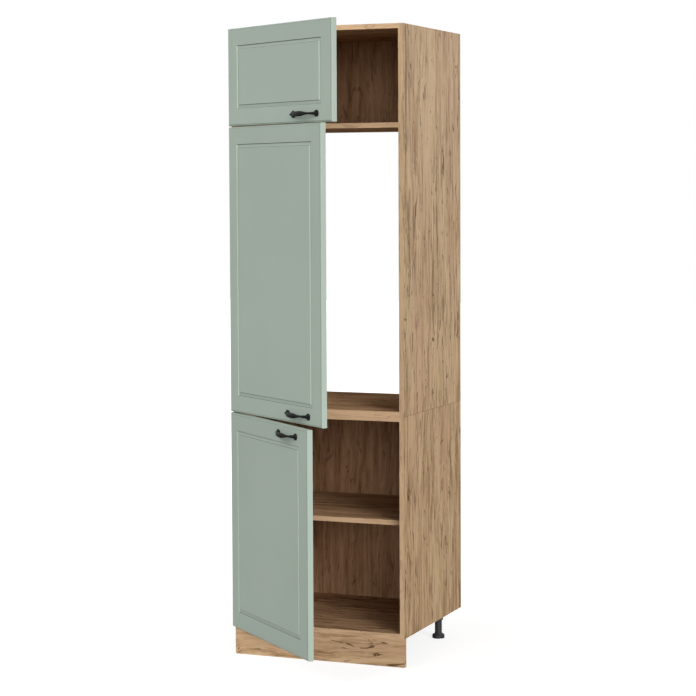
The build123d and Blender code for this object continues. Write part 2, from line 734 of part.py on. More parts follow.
def hinge_cup(z):
    """Steel cup pressed into the door, with its screw flange and the two pin ears."""
    ear_shift = CUP_SCREW_PITCH / 2
    ear_x = CUP_X + CUP_SCREW_OFFSET
    cup = rod(CUP_RADIUS, (CUP_X, DOOR_BACK, z), (0, -1, 0), CUP_DEPTH)
    face = Plane(origin=(CUP_X, DOOR_BACK, z), x_dir=(1, 0, 0), z_dir=(0, 1, 0))
    bar = Pos(CUP_SCREW_OFFSET, 0) * Rot(0, 0, 90) * SlotCenterToCenter(CUP_SCREW_PITCH, CUP_EAR_WIDTH)
    flange = extrude(face * (Circle(CUP_RADIUS + CUP_FLANGE_RIM) + bar), CUP_FLANGE)
    hollow = rod(CUP_INNER, (CUP_X, DOOR_BACK + CUP_FLANGE, z), (0, -1, 0),
                 CUP_DEPTH - CUP_WALL + CUP_FLANGE)
    pin_x, pin_y = offset_point(CUP_PIVOT)
    grasp = PIN_RADIUS + EAR_WALL
    ears = Part()
    for side in (-1, 1):
        inside = z + side * (LONG_LINK_HALF + LINK_SIDE_PLAY)
        outside = z + side * CUP_RADIUS
        ears += block((pin_x - grasp, pin_x + grasp), (CUP_FLOOR, pin_y + grasp),
                      (min(inside, outside), max(inside, outside)))
    body = cup + flange - hollow + (ears & hollow)
    for shift in (-ear_shift, ear_shift):
        body -= rod(CUP_SCREW[0] + HOLE_PLAY, (ear_x, DOOR_BACK, z + shift), (0, 1, 0), CUP_FLANGE)
    bore = PIN_RADIUS + PIN_PLAY
    return body - rod(bore, (pin_x, pin_y, z - pin_reach()), (0, 0, 1), 2 * pin_reach())


def pin_reach():
    """Half length of the bore for the cup's pin, just inside the cup's wall."""
    return math.sqrt(CUP_INNER ** 2 - (offset_point(CUP_PIVOT)[0] - CUP_X) ** 2)


def screw(shank, head, start, direction):
    """Pan-head screw: shank into the board, head outside."""
    back = tuple(-value for value in direction)
    return rod(shank[0], start, direction, shank[1]) + rod(head[0], start, back, head[1])


def cup_screws(door):
    """Screws that hold the cups in a door."""
    pieces = []
    for z in door.hinge_heights:
        for shift in (-CUP_SCREW_PITCH / 2, CUP_SCREW_PITCH / 2):
            start = (CUP_X + CUP_SCREW_OFFSET, DOOR_BACK + CUP_FLANGE, z + shift)
            pieces.append(screw((CUP_SCREW[0], CUP_SCREW[1]), CUP_SCREW_HEAD, start, (0, -1, 0)))
    return pieces


def link_plate(points, cup_eye, low, high):
    """Bent steel strip in the plan between two heights, with an eye at each end.

    The points are the ends of arcs, with one point on each arc between them.
    """
    arcs = [ThreePointArc(*points[index:index + 3]) for index in range(0, len(points) - 1, 2)]
    strip = trace(Curve() + arcs, LINK_STEEL)
    for centre, radius in ((points[0], cup_eye), (points[-1], EYE_RADIUS)):
        strip += Pos(*centre) * Circle(radius)
    return Pos(0, 0, low) * extrude(strip, high - low)


def long_link_path():
    """Middle line of the long link's cheeks, from the cup to the arm, round the cup's rim."""
    bends = [offset_point(point) for point in LONG_LINK_BENDS]
    return [offset_point(CUP_PIVOT), *bends, offset_point(ARM_PIVOT)]


def short_link_path():
    """Middle line of the short link, from the cup to the arm, at its seat angle."""
    bends = [offset_point(point) for point in SHORT_LINK_BENDS]
    cup = door_motion(SHORT_LINK_SEAT) * Pos(*offset_point(CUP_PIVOT_2), 0)
    return [(cup.position.X, cup.position.Y), *bends, offset_point(ARM_PIVOT_2)]


def long_link(z):
    """Outer link: two bent cheeks on one arm pin, each with its own stub pin in the cup."""
    arm_x, arm_y = offset_point(ARM_PIVOT)
    cup_x, cup_y = offset_point(CUP_PIVOT)
    reach = arm_half()
    link = rod(PIN_RADIUS, (arm_x, arm_y, z - reach), (0, 0, 1), 2 * reach)
    for side in (-1, 1):
        near, far = z + side * LONG_LINK_INNER, z + side * LONG_LINK_HALF
        link += link_plate(long_link_path(), EYE_RADIUS, min(near, far), max(near, far))
        end = side * (pin_reach() - 2 * PIN_PLAY)
        link += rod(PIN_RADIUS, (cup_x, cup_y, near), (0, 0, side), abs(end) - LONG_LINK_INNER)
    return link


def short_link(z):
    """Inner link between the cheeks of the outer one, with its pin in the arm."""
    arm_x, arm_y = offset_point(ARM_PIVOT_2)
    reach = arm_half()
    link = link_plate(short_link_path(), FREE_EYE_RADIUS, z - SHORT_LINK_HALF, z + SHORT_LINK_HALF)
    return link + rod(PIN_RADIUS, (arm_x, arm_y, z - reach), (0, 0, 1), 2 * reach)


def arm_half():
    """Half width of the hinge arm, outside its two cheeks."""
    return LONG_LINK_HALF + LINK_SIDE_PLAY + ARM_STEEL


def hinge_arm(z):
    """Steel arm: two cheeks that hold the link pins, joined by a web over the plate."""
    nose, nose_2 = ARM_PIVOT, ARM_PIVOT_2
    cheek = make_face(Polyline(
        (nose[0] - EYE_RADIUS, nose[1]), (ARM_FOOT + ARM_THROAT, ARM_WAIST / 2),
        (ARM_FOOT, ARM_WAIST), (ARM_FOOT, ARM_LENGTH), (ARM_TOP, ARM_LENGTH),
        (ARM_TOP, ARM_WAIST), (nose_2[0] + EYE_RADIUS, nose_2[1] + 2 * EYE_RADIUS),
        (nose_2[0] + EYE_RADIUS, nose_2[1]), nose, (nose[0] - EYE_RADIUS, nose[1])))
    cheek += Pos(*nose) * Circle(EYE_RADIUS) + Pos(*nose_2) * Circle(EYE_RADIUS)
    inner = LONG_LINK_HALF + LINK_SIDE_PLAY
    arm = Part()
    for side in (-1, 1):
        near, far = side * inner, side * arm_half()
        arm += Pos(LEFT, 0, z + min(near, far)) * extrude(cheek, ARM_STEEL)
    web = block((LEFT + ARM_TOP - ARM_STEEL, LEFT + ARM_TOP), (ARM_WAIST, ARM_LENGTH),
                (z - inner, z + inner))
    arm += web
    for pivot in (nose, nose_2):
        x, y = offset_point(pivot)
        arm -= rod(PIN_RADIUS + PIN_PLAY, (x, y, z - 2 * arm_half()), (0, 0, 1), 4 * arm_half())
    for y in ARM_SCREW_YS:
        arm -= rod(ARM_SCREW_RADIUS / 2 + HOLE_PLAY, (LEFT + ARM_FOOT, y, z), (1, 0, 0), ARM_TOP)
    return arm


def hinge_plate(z):
    """Mounting plate on the left side: winged foot with a spine inside the arm."""
    low, high, thick = PLATE_WING
    start, end, tall = PLATE_SPINE
    wing_y = (PLATE_SCREW_Y - low / 2, PLATE_SCREW_Y + low / 2)
    body = block((-INNER, -INNER + thick), wing_y, (z - high / 2, z + high / 2))
    half = LONG_LINK_HALF + LINK_SIDE_PLAY - 2 * HOLE_PLAY
    body += block((-INNER, -INNER + tall), (start, end), (z - half, z + half))
    for shift in (-PLATE_SCREW_PITCH / 2, PLATE_SCREW_PITCH / 2):
        body -= rod(PLATE_SCREW[0] + HOLE_PLAY, (-INNER, PLATE_SCREW_Y, z + shift), (1, 0, 0), 2 * thick)
    for y in ARM_SCREW_YS:
        body -= rod(ARM_SCREW_RADIUS / 2 + HOLE_PLAY, (-INNER, y, z), (1, 0, 0), 2 * tall)
    return body


def arm_screws(z):
    """Adjusting and fixing screws through the arm into the plate."""
    pieces = []
    for y in ARM_SCREW_YS:
        pieces.append(rod(ARM_SCREW_RADIUS / 2, (-INNER, y, z), (1, 0, 0),
                          ARM_TOP - BOARD) + rod(ARM_SCREW_RADIUS, (LEFT + ARM_TOP, y, z),
                                                 (1, 0, 0), ARM_SCREW_HEAD))
    return pieces


def plate_screws(z):
    """Screws that hold one plate on the left side."""
    radius, depth = PLATE_SCREW
    thick = PLATE_WING[2]
    return [screw((radius, depth + thick), PLATE_SCREW_HEAD,
                  (-INNER + thick, PLATE_SCREW_Y, z + shift), (-1, 0, 0))
            for shift in (-PLATE_SCREW_PITCH / 2, PLATE_SCREW_PITCH / 2)]


def handle_screws(door):
    """Screws through the door into the handle."""
    pieces = []
    for x in handle_screw_xs():
        pieces.append(screw((HANDLE_SCREW_RADIUS, DOOR_THICKNESS + HANDLE_SCREW_GRIP),
                            HANDLE_SCREW_HEAD, (x, DOOR_BACK, door.handle_z), (0, -1, 0)))
    return pieces


def save_door(door, pull):
    """Door, handle, hinges and their fasteners, at the door's opening angle."""
    move = door_motion(door.angle)
    seat = Pos(handle_screw_xs()[0], DOOR_FRONT, door.handle_z)
    save(f"{door.name}_door", move * door_leaf(door))
    save(f"{door.name}_handle", move * seat * pull)
    save(f"{door.name}_handle_screws", [move * piece for piece in handle_screws(door)])
    save(f"{door.name}_door_buffers", [move * piece for piece in door_buffers(door)])
    save(f"{door.name}_hinge_cups", [move * hinge_cup(z) for z in door.hinge_heights])
    save(f"{door.name}_cup_screws", [move * piece for piece in cup_screws(door)])
    long_turn = swing(offset_point(ARM_PIVOT), LONG_LINK_RATIO * door.angle)
    short_turn = swing(offset_point(ARM_PIVOT_2),
                       SHORT_LINK_RATIO * (door.angle - SHORT_LINK_SEAT))
    save(f"{door.name}_long_links", [long_turn * long_link(z) for z in door.hinge_heights])
    save(f"{door.name}_short_links", [short_turn * short_link(z) for z in door.hinge_heights])
    save(f"{door.name}_hinge_arms", [hinge_arm(z) for z in door.hinge_heights])
    save(f"{door.name}_hinge_plates", [hinge_plate(z) for z in door.hinge_heights])


def save_doors():
    """All three doors and the screws of their hinge plates and arms."""
    pull = handle()
    heights = []
    for door in DOORS:
        save_door(door, pull)
        heights += door.hinge_heights
    save("hinge_plate_screws", [piece for z in heights for piece in plate_screws(z)])
    save("hinge_arm_screws", [piece for z in heights for piece in arm_screws(z)])


save_carcass()
save_brackets()
save_base()
save_doors()
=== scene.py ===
"""Tall kitchen housing for a built-in fridge, dressed for its picture.

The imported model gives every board, door, hinge and foot. This script gives them their finishes,
models the hammered pulls, and sets up the pale room, the lamps and the camera.
Lengths are in metres, X runs across the front, +Y to the back and Z up.
"""

from __future__ import annotations

import logging
import math
from dataclasses import dataclass
from enum import Enum
from typing import Callable, Iterable

import bmesh
import bpy
from mathutils import Matrix, Vector

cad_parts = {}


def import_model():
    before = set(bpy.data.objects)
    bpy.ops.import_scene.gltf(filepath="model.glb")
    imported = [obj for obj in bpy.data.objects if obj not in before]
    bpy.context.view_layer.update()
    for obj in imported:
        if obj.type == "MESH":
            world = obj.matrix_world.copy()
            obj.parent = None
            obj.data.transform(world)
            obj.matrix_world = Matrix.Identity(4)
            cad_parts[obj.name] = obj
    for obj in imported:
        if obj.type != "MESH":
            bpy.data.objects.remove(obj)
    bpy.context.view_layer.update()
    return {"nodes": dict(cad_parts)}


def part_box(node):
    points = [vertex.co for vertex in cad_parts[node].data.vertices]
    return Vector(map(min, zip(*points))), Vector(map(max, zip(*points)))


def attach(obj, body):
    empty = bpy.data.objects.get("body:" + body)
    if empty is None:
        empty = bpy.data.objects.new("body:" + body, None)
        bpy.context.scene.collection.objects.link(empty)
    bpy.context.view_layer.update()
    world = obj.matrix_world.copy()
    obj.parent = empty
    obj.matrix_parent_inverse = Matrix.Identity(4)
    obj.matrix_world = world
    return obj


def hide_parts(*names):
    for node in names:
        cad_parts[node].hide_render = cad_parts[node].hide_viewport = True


LOG = logging.getLogger("housing")
MM = 0.001
QUARTER = math.radians(90)
NOISE_MEAN = 0.5

Colour = tuple[float, float, float, float]
# A noise's cells per metre across and along Z, its detail and its roughness.
Noise = tuple[float, float, float, float]
# Where a mask starts and where it is full.
Band = tuple[float, float]
# The start and the end of a range, and what they become.
Ramp = tuple[float, float, float, float]
# A slope, and what is added to it.
Line = tuple[float, float]
# A bump's strength and its depth.
Relief = tuple[float, float]
# Takes a face's centre and its normal.
Test = Callable[[Vector, Vector], bool]
Socket = bpy.types.NodeSocket
Value = Socket | float | Vector | tuple[float, ...]
Sockets = dict[str, Socket]

WHITE: Colour = (1.0, 1.0, 1.0, 1.0)


def srgb(red: int, green: int, blue: int) -> Colour:
    """Turn a colour as seen on a screen into the linear values that a shader takes.

    Args:
        red: Red from 0 to 255.
        green: Green from 0 to 255.
        blue: Blue from 0 to 255.

    Returns:
        Linear red, green, blue and an alpha of one.
    """
    linear = []
    for value in (red, green, blue):
        share = value / 255
        linear.append(share / 12.92 if share <= 0.04045 else ((share + 0.055) / 1.055) ** 2.4)
    return (linear[0], linear[1], linear[2], 1.0)


class Nodes:
    """A node tree that is filled from left to right."""

    STEP = 220
    MIX_INPUTS = (0, 6, 7)
    MIX_OUTPUT = 2

    def __init__(self, tree: bpy.types.NodeTree) -> None:
        """Start with an empty tree."""
        self.tree = tree
        self.tree.nodes.clear()

    def add(self, kind: str, values: dict[str | int, Value] | None = None,
            **settings: object) -> bpy.types.Node:
        """Add a node.

        Args:
            kind: The node's Blender type.
            values: What each input holds, or the output socket that feeds it.
            settings: Properties of the node itself.

        Returns:
            The new node.
        """
        node = self.tree.nodes.new(kind)
        node.location = (self.STEP * len(self.tree.nodes), 0)
        for key, setting in settings.items():
            setattr(node, key, setting)
        self.fill(node, values or {})
        return node

    def fill(self, node: bpy.types.Node, values: dict[str | int, Value]) -> None:
        """Feed several inputs of a node."""
        for key, value in values.items():
            self.feed(node.inputs[key], value)

    def feed(self, socket: Socket, value: Value) -> None:
        """Link an output socket to an input, or write a plain value on it.

        Args:
            socket: The input.
            value: The output socket, or the plain value.
        """
        if isinstance(value, Socket):
            self.tree.links.new(value, socket)
        else:
            socket.default_value = value

    def math(self, operation: str, first: Value, second: Value = 0.0,
             third: Value = 0.0) -> Socket:
        """Add a Math node and return its output."""
        return self.add("ShaderNodeMath", {0: first, 1: second, 2: third},
                        operation=operation).outputs[0]

    def highest(self, values: Iterable[Socket]) -> Socket:
        """Take the highest of several values.

        Args:
            values: The values.

        Returns:
            Their maximum.
        """
        found, *others = values
        for other in others:
            found = self.math("MAXIMUM", found, other)
        return found

    def vector(self, operation: str, first: Value,
               second: Value = (0.0, 0.0, 0.0)) -> Socket:
        """Add a Vector Math node and return its output."""
        return self.add("ShaderNodeVectorMath", {0: first, 1: second},
                        operation=operation).outputs[0]

    def scaled(self, vector: Value, factor: Value) -> Socket:
        """Scale a vector by a number and return the output."""
        return self.add("ShaderNodeVectorMath", {0: vector, "Scale": factor},
                        operation="SCALE").outputs[0]

    def along(self, vector: Value, direction: Vector) -> Socket:
        """Measure a vector along a direction and return the output."""
        return self.add("ShaderNodeVectorMath", {0: vector, 1: direction},
                        operation="DOT_PRODUCT").outputs["Value"]

    def part(self, vector: Value, axis: int) -> Socket:
        """Take the part of a vector along X (0), Y (1) or Z (2) and return the output."""
        return self.add("ShaderNodeSeparateXYZ", {"Vector": vector}).outputs[axis]

    def mapped(self, vector: Value, offset: Value, grain: Grain) -> Socket:
        """Shift a vector, turn it along a board's grain and return the output."""
        return self.add("ShaderNodeMapping", {
            "Vector": vector, "Location": offset, "Rotation": grain.value}).outputs[0]

    def noise(self, vector: Value, noise: Noise) -> Socket:
        """Add a Noise Texture that is drawn out along Z.

        Args:
            vector: Where the noise is read.
            noise: Its cells per metre across and along Z, its detail and its roughness.

        Returns:
            The noise's value.
        """
        across, along, detail, roughness = noise
        stretched = self.vector("MULTIPLY", vector, (across, across, along))
        return self.add("ShaderNodeTexNoise", {
            "Vector": stretched, "Scale": 1.0, "Detail": detail,
            "Roughness": roughness}).outputs[0]

    def between(self, value: Value, low: float, high: float, low_2: float = 0.0,
                high_2: float = 1.0) -> Socket:
        """Map a range of values smoothly to another.

        Args:
            value: The value to map.
            low: Where the range starts.
            high: Where it ends.
            low_2: What its start becomes.
            high_2: What its end becomes.

        Returns:
            The mapped value.
        """
        return self.add("ShaderNodeMapRange", {
            "Value": value, "From Min": low, "From Max": high, "To Min": low_2, "To Max": high_2},
            interpolation_type="SMOOTHSTEP").outputs[0]

    def cut(self, vector: Value, noise: Noise, band: Band) -> Socket:
        """Add a noise, cut it to a mask by a band of its values and return the mask."""
        return self.between(self.noise(vector, noise), *band)

    def mix(self, share: Value, first: Value, second: Value) -> Socket:
        """Mix two colours.

        Args:
            share: The second colour's share.
            first: The first colour.
            second: The second colour.

        Returns:
            The mixed colour.
        """
        node = self.add("ShaderNodeMix", data_type="RGBA")
        self.fill(node, dict(zip(self.MIX_INPUTS, (share, first, second))))
        return node.outputs[self.MIX_OUTPUT]

    def bump(self, height: Value, strength: float, distance: float) -> Socket:
        """Add a Bump node and return its normal."""
        return self.add("ShaderNodeBump", {
            "Height": height, "Strength": strength, "Distance": distance}).outputs[0]


class Effect:
    """A shader node group that several finishes share, built once and then reused."""

    def __init__(self, name: str, inputs: dict[str, str], outputs: dict[str, str]) -> None:
        """Make the group's sockets.

        Args:
            name: The group's name.
            inputs: Socket types by input name.
            outputs: Socket types by output name.
        """
        self.group = bpy.data.node_groups.new(name, "ShaderNodeTree")
        for direction, sockets in (("INPUT", inputs), ("OUTPUT", outputs)):
            for socket, kind in sockets.items():
                self.group.interface.new_socket(socket, in_out=direction, socket_type=kind)
        self.nodes = Nodes(self.group)
        self.inputs = self.nodes.add("NodeGroupInput").outputs
        self.outputs = self.nodes.add("NodeGroupOutput").inputs

    def give(self, name: str, value: Value) -> None:
        """Link a value to one of the group's outputs."""
        self.nodes.feed(self.outputs[name], value)

    def place(self, nodes: Nodes, values: dict[str | int, Value]) -> Sockets:
        """Place the group in a material with its own values and return its outputs by name."""
        node = nodes.add("ShaderNodeGroup", values, node_tree=self.group)
        return {socket.name: socket for socket in node.outputs}


FLOAT = "NodeSocketFloat"
VECTOR = "NodeSocketVector"


@dataclass(frozen=True)
class OakFigure:
    """The printed oak figure along Z: flowing rings, streaks, fibres, veins, knots and slits."""

    knot_cell: tuple[float, float, float] = (6.0, 6.0, 2.1)
    knot_chance: float = 0.72
    knot_reach: Band = (0.42, 0.04)
    knot_core: Band = (0.10, 0.04)
    knot_edge: Noise = (230.0, 70.0, 3.0, 0.6)
    knot_edge_band: Band = (0.38, 0.54)
    knot_pull: float = -0.5
    halo: Band = (0.3, 1.0)
    halo_depth: float = 0.7
    sways: tuple[tuple[Noise, float], ...] = (
        ((3.2, 1.4, 3.0, 0.5), 0.07), ((15.0, 8.0, 3.0, 0.5), 0.019))
    broad: Noise = (13.0, 1.3, 3.0, 0.55)
    broad_share: float = 0.24
    streak: Noise = (64.0, 3.4, 5.0, 0.68)
    streak_share: float = 0.56
    fibre: Noise = (380.0, 18.0, 2.0, 0.6)
    fibre_share: float = 0.20
    fibre_relief: float = 0.6
    veins: tuple[tuple[Noise, float], ...] = (
        ((9.0, 1.3, 2.0, 0.5), 0.007), ((19.0, 2.4, 2.0, 0.5), 0.009),
        ((34.0, 3.6, 2.0, 0.5), 0.012))
    vein_break: Noise = (30.0, 7.0, 3.0, 0.6)
    vein_break_band: Band = (0.51, 0.57)
    patch: Noise = (12.0, 4.0, 2.0, 0.5)
    patch_band: Band = (0.52, 0.62)
    slit: Noise = (150.0, 9.0, 3.0, 0.55)
    slit_band: Band = (0.56, 0.63)
    drift: Noise = (11.0, 0.7, 2.0, 0.5)
    drift_band: Band = (0.36, 0.64)

    def build(self) -> Effect:
        """Build the node group.

        Returns:
            A group that puts out the wood's tone, its slow drift of hue, its dark marks and its
            relief.
        """
        effect = Effect("oak_figure", {"Vector": VECTOR},
                        {"Tone": FLOAT, "Drift": FLOAT, "Mark": FLOAT, "Relief": FLOAT})
        nodes = effect.nodes
        place = effect.inputs["Vector"]
        cells = nodes.vector("MULTIPLY", place, self.knot_cell)
        knots = nodes.add("ShaderNodeTexVoronoi", {"Vector": cells, "Scale": 1.0}).outputs
        chance = nodes.add("ShaderNodeSeparateColor", {0: knots["Color"]}).outputs[0]
        alive = nodes.math("GREATER_THAN", chance, self.knot_chance)
        near = nodes.math("MULTIPLY", alive, nodes.between(knots["Distance"], *self.knot_reach))
        core = nodes.math("MULTIPLY", alive, nodes.between(knots["Distance"], *self.knot_core))
        away = nodes.vector("SUBTRACT", cells, knots["Position"])
        flow = self.flow(nodes, place, away, near)
        broad, streak, fibre = (nodes.noise(flow, noise)
                                for noise in (self.broad, self.streak, self.fibre))
        tone = nodes.math("MULTIPLY", broad, self.broad_share)
        tone = nodes.math("MULTIPLY_ADD", streak, self.streak_share, tone)
        tone = nodes.math("MULTIPLY_ADD", fibre, self.fibre_share, tone)
        mark = self.mark(nodes, flow, core, near)
        effect.give("Tone", tone)
        effect.give("Drift", nodes.cut(place, self.drift, self.drift_band))
        effect.give("Mark", mark)
        effect.give("Relief", nodes.math(
            "SUBTRACT", nodes.math("MULTIPLY", fibre, self.fibre_relief), mark))
        return effect

    def flow(self, nodes: Nodes, place: Socket, away: Socket, near: Socket) -> Socket:
        """Bend the grain round the knots and let it sway.

        Args:
            nodes: The group's nodes.
            place: The place on the board.
            away: How far the place is from the nearest knot, in cells.
            near: How much that knot bends the grain.

        Returns:
            The place at which the grain is read.
        """
        level = (1.0, 1.0, 0.0)
        away = nodes.vector("DIVIDE", nodes.vector("MULTIPLY", away, level), self.knot_cell)
        pull = nodes.math("MULTIPLY", near, self.knot_pull)
        flow = nodes.vector("ADD", place, nodes.scaled(away, pull))
        for noise, width in self.sways:
            sway = nodes.math("SUBTRACT", nodes.noise(place, noise), NOISE_MEAN)
            sway = nodes.math("MULTIPLY", sway, width)
            flow = nodes.vector("ADD", flow, nodes.scaled(level, sway))
        return flow

    def mark(self, nodes: Nodes, flow: Socket, core: Socket, near: Socket) -> Socket:
        """Draw the dark marks: broken veins, patches of slits, and knots with slits round them.

        Args:
            nodes: The group's nodes.
            flow: The place at which the grain is read.
            core: Mask of the knots' cores.
            near: How close the place is to a knot.

        Returns:
            Mask of the marks.
        """
        lines = []
        for noise, width in self.veins:
            level = nodes.math("SUBTRACT", nodes.noise(flow, noise), NOISE_MEAN)
            lines.append(nodes.between(nodes.math("ABSOLUTE", level), width, width / 3))
        broken = nodes.cut(flow, self.vein_break, self.vein_break_band)
        vein = nodes.math("MULTIPLY", nodes.highest(lines), broken)
        slits = nodes.cut(flow, self.slit, self.slit_band)
        patch = nodes.math("MULTIPLY", nodes.cut(flow, self.patch, self.patch_band), slits)
        ragged = nodes.cut(flow, self.knot_edge, self.knot_edge_band)
        core = nodes.math("MULTIPLY", core, ragged)
        halo = nodes.math("MULTIPLY", nodes.between(near, *self.halo), slits)
        halo = nodes.math("MULTIPLY", halo, self.halo_depth)
        return nodes.highest((patch, core, halo, vein))


@dataclass(frozen=True)
class FineSkin:
    """The fine unevenness of foil, lacquer, cast metal or moulded plastic."""

    detail: float = 3.0
    cloud: Noise = (2.4, 2.4, 3.0, 0.5)
    cloud_band: Band = (0.35, 0.65)

    def build(self) -> Effect:
        """Build the node group.

        Returns:
            A group that puts out a height and a slow cloudy variation.
        """
        effect = Effect("fine_skin", {"Vector": VECTOR, "Fineness": FLOAT},
                        {"Height": FLOAT, "Cloud": FLOAT})
        place = effect.inputs["Vector"]
        peel = effect.nodes.add("ShaderNodeTexNoise", {
            "Vector": place, "Scale": effect.inputs["Fineness"], "Detail": self.detail})
        effect.give("Height", peel.outputs[0])
        effect.give("Cloud", effect.nodes.cut(place, self.cloud, self.cloud_band))
        return effect


@dataclass(frozen=True)
class WornEdges:
    """Where the surface stands out and is rubbed, read from its curvature; the iron also lightens
    it as a painted highlight.
    """

    ragged: Noise = (420.0, 420.0, 3.0, 0.5)
    raggedness: float = 0.03
    band: Band = (0.54, 0.62)

    def build(self) -> Effect:
        """Build the node group.

        Returns:
            A group that puts out how much each point stands out.
        """
        effect = Effect("worn_edges", {"Vector": VECTOR}, {"Ridge": FLOAT})
        nodes = effect.nodes
        point = nodes.add("ShaderNodeNewGeometry").outputs["Pointiness"]
        ragged = nodes.noise(effect.inputs["Vector"], self.ragged)
        spread = nodes.math("MULTIPLY_ADD", ragged, self.raggedness, point)
        effect.give("Ridge", nodes.between(spread, *self.band))
        return effect


@dataclass(frozen=True)
class Effects:
    """The node groups that the finishes share."""

    oak: Effect
    skin: Effect
    worn: Effect


class Grain(Enum):
    """Which way the wood print runs on a board."""

    UPRIGHT = (0.0, 0.0, 0.0)
    ACROSS = (0.0, QUARTER, 0.0)


@dataclass(frozen=True)
class Hanging:
    """How one door hangs in the picture, on its four-link hinges."""

    door: str
    angle: float
    pull_height: float
    cup_pivot: Vector = Vector((-0.291, -0.006, 0.0))
    arm_pivot: Vector = Vector((-0.264, 0.001, 0.0))
    link_ratio: float = 0.49

    def swing(self) -> Matrix:
        """Work out the move of the door from closed to its angle in the picture.

        Returns:
            The move as a matrix.
        """
        def about(point: Vector, degrees: float) -> Matrix:
            """Turn clockwise, seen from above, about an upright axis through a point."""
            turn = Matrix.Rotation(math.radians(-degrees), 4, "Z")
            return Matrix.Translation(point) @ turn @ Matrix.Translation(-point)

        carried = about(self.arm_pivot, -self.link_ratio * self.angle) @ self.cup_pivot
        return about(carried, self.angle) @ Matrix.Translation(carried - self.cup_pivot)


class Finish:
    """Base of every finish: a named material with one Principled shader."""

    name: str

    def start(self) -> tuple[Nodes, bpy.types.Node, Sockets]:
        """Make the material.

        Returns:
            Its nodes, its shader and the outputs of its Texture Coordinate node by name.
        """
        material = bpy.data.materials.new(self.name)
        material.use_nodes = True
        nodes = Nodes(material.node_tree)
        shader = nodes.add("ShaderNodeBsdfPrincipled")
        nodes.add("ShaderNodeOutputMaterial", {"Surface": shader.outputs[0]})
        found = nodes.add("ShaderNodeTexCoord").outputs
        return nodes, shader, {socket.name: socket for socket in found}

    def build(self, effects: Effects) -> None:
        """Make the material, each finish in its own way."""
        raise NotImplementedError(self.name)

    def material(self) -> bpy.types.Material:
        """Find the material of this finish."""
        return bpy.data.materials[self.name]

    def paint(self, piece: bpy.types.Object) -> None:
        """Put this finish on all of a piece."""
        piece.data.materials.clear()
        piece.data.materials.append(self.material())


@dataclass(frozen=True)
class OakFinish(Finish):
    """Printed oak on chipboard: lighter edging in front, raw chips on the rear edges."""

    name: str
    grain: Grain
    offset: Vector
    edged: bool = True
    light: Colour = srgb(176, 150, 115)
    middle: Colour = srgb(153, 127, 93)
    dark: Colour = srgb(119, 92, 61)
    stops: tuple[float, float, float] = (0.42, 0.48, 0.55)
    warm: Colour = srgb(164, 131, 102)
    warmth: float = 0.45
    mark: Colour = srgb(76, 50, 27)
    mark_depth: float = 0.85
    rough: Ramp = (0.3, 0.7, 0.60, 0.50)
    relief: Relief = (0.35, 0.4 * MM)
    gloss: float = 0.07
    joint: float = -1.0
    joint_width: float = 1.3 * MM
    joint_depth: float = 0.7
    square: float = 0.7
    edging: Colour = srgb(192, 163, 131)
    edging_share: float = 0.55
    chips: Colour = srgb(193, 164, 122)
    chips_dark: Colour = srgb(140, 108, 72)
    chips_rough: float = 0.85
    chip_shape: tuple[float, float, float] = (1.0, 1.0, 0.6)
    chip_fineness: float = 420.0

    def build(self, effects: Effects) -> None:
        """Make the material.

        Args:
            effects: The node groups that the finishes share.
        """
        nodes, shader, place = self.start()
        mapped = nodes.mapped(place["Object"], self.offset, self.grain)
        figure = effects.oak.place(nodes, {"Vector": mapped})
        colour = self.printed(nodes, figure)
        height = nodes.part(place["Object"], 2)
        from_joint = nodes.math("ABSOLUTE", nodes.math("SUBTRACT", height, self.joint))
        seam = nodes.between(from_joint, self.joint_width, 0.0, 0.0, self.joint_depth)
        colour = nodes.mix(seam, colour, self.mark)
        rough = nodes.between(figure["Tone"], *self.rough)
        if self.edged:
            facing = nodes.part(place["Normal"], 1)
            front = nodes.math("LESS_THAN", facing, -self.square)
            colour = nodes.mix(nodes.math("MULTIPLY", front, self.edging_share), colour,
                               self.edging)
            rear = nodes.math("GREATER_THAN", facing, self.square)
            colour = nodes.mix(rear, colour, self.raw(nodes, place))
            rough = nodes.math("MAXIMUM", rough, nodes.math("MULTIPLY", rear, self.chips_rough))
        nodes.fill(shader, {
            "Base Color": colour, "Roughness": rough, "Specular IOR Level": self.gloss,
            "Normal": nodes.bump(figure["Relief"], *self.relief)})

    def printed(self, nodes: Nodes, figure: Sockets) -> Socket:
        """Colour the printed figure.

        Args:
            nodes: The material's nodes.
            figure: The outputs of the oak figure.

        Returns:
            The print's colour.
        """
        ramp = nodes.add("ShaderNodeValToRGB", {"Fac": figure["Tone"]})
        low, middle, high = self.stops
        stops = ramp.color_ramp.elements
        stops[0].position, stops[0].color = low, self.dark
        stops[1].position, stops[1].color = high, self.light
        stops.new(middle).color = self.middle
        warmth = nodes.math("MULTIPLY", figure["Drift"], self.warmth)
        colour = nodes.mix(warmth, ramp.outputs[0], self.warm)
        depth = nodes.math("MULTIPLY", figure["Mark"], self.mark_depth)
        return nodes.mix(depth, colour, self.mark)

    def raw(self, nodes: Nodes, place: Sockets) -> Socket:
        """Colour the raw chipboard, chip by chip.

        Args:
            nodes: The material's nodes.
            place: The outputs of its Texture Coordinate node.

        Returns:
            The chipboard's colour.
        """
        chips = nodes.add("ShaderNodeTexVoronoi", {
            "Vector": nodes.vector("MULTIPLY", place["Object"], self.chip_shape),
            "Scale": self.chip_fineness})
        shade = nodes.add("ShaderNodeSeparateColor", {0: chips.outputs["Color"]}).outputs[0]
        return nodes.mix(shade, self.chips_dark, self.chips)


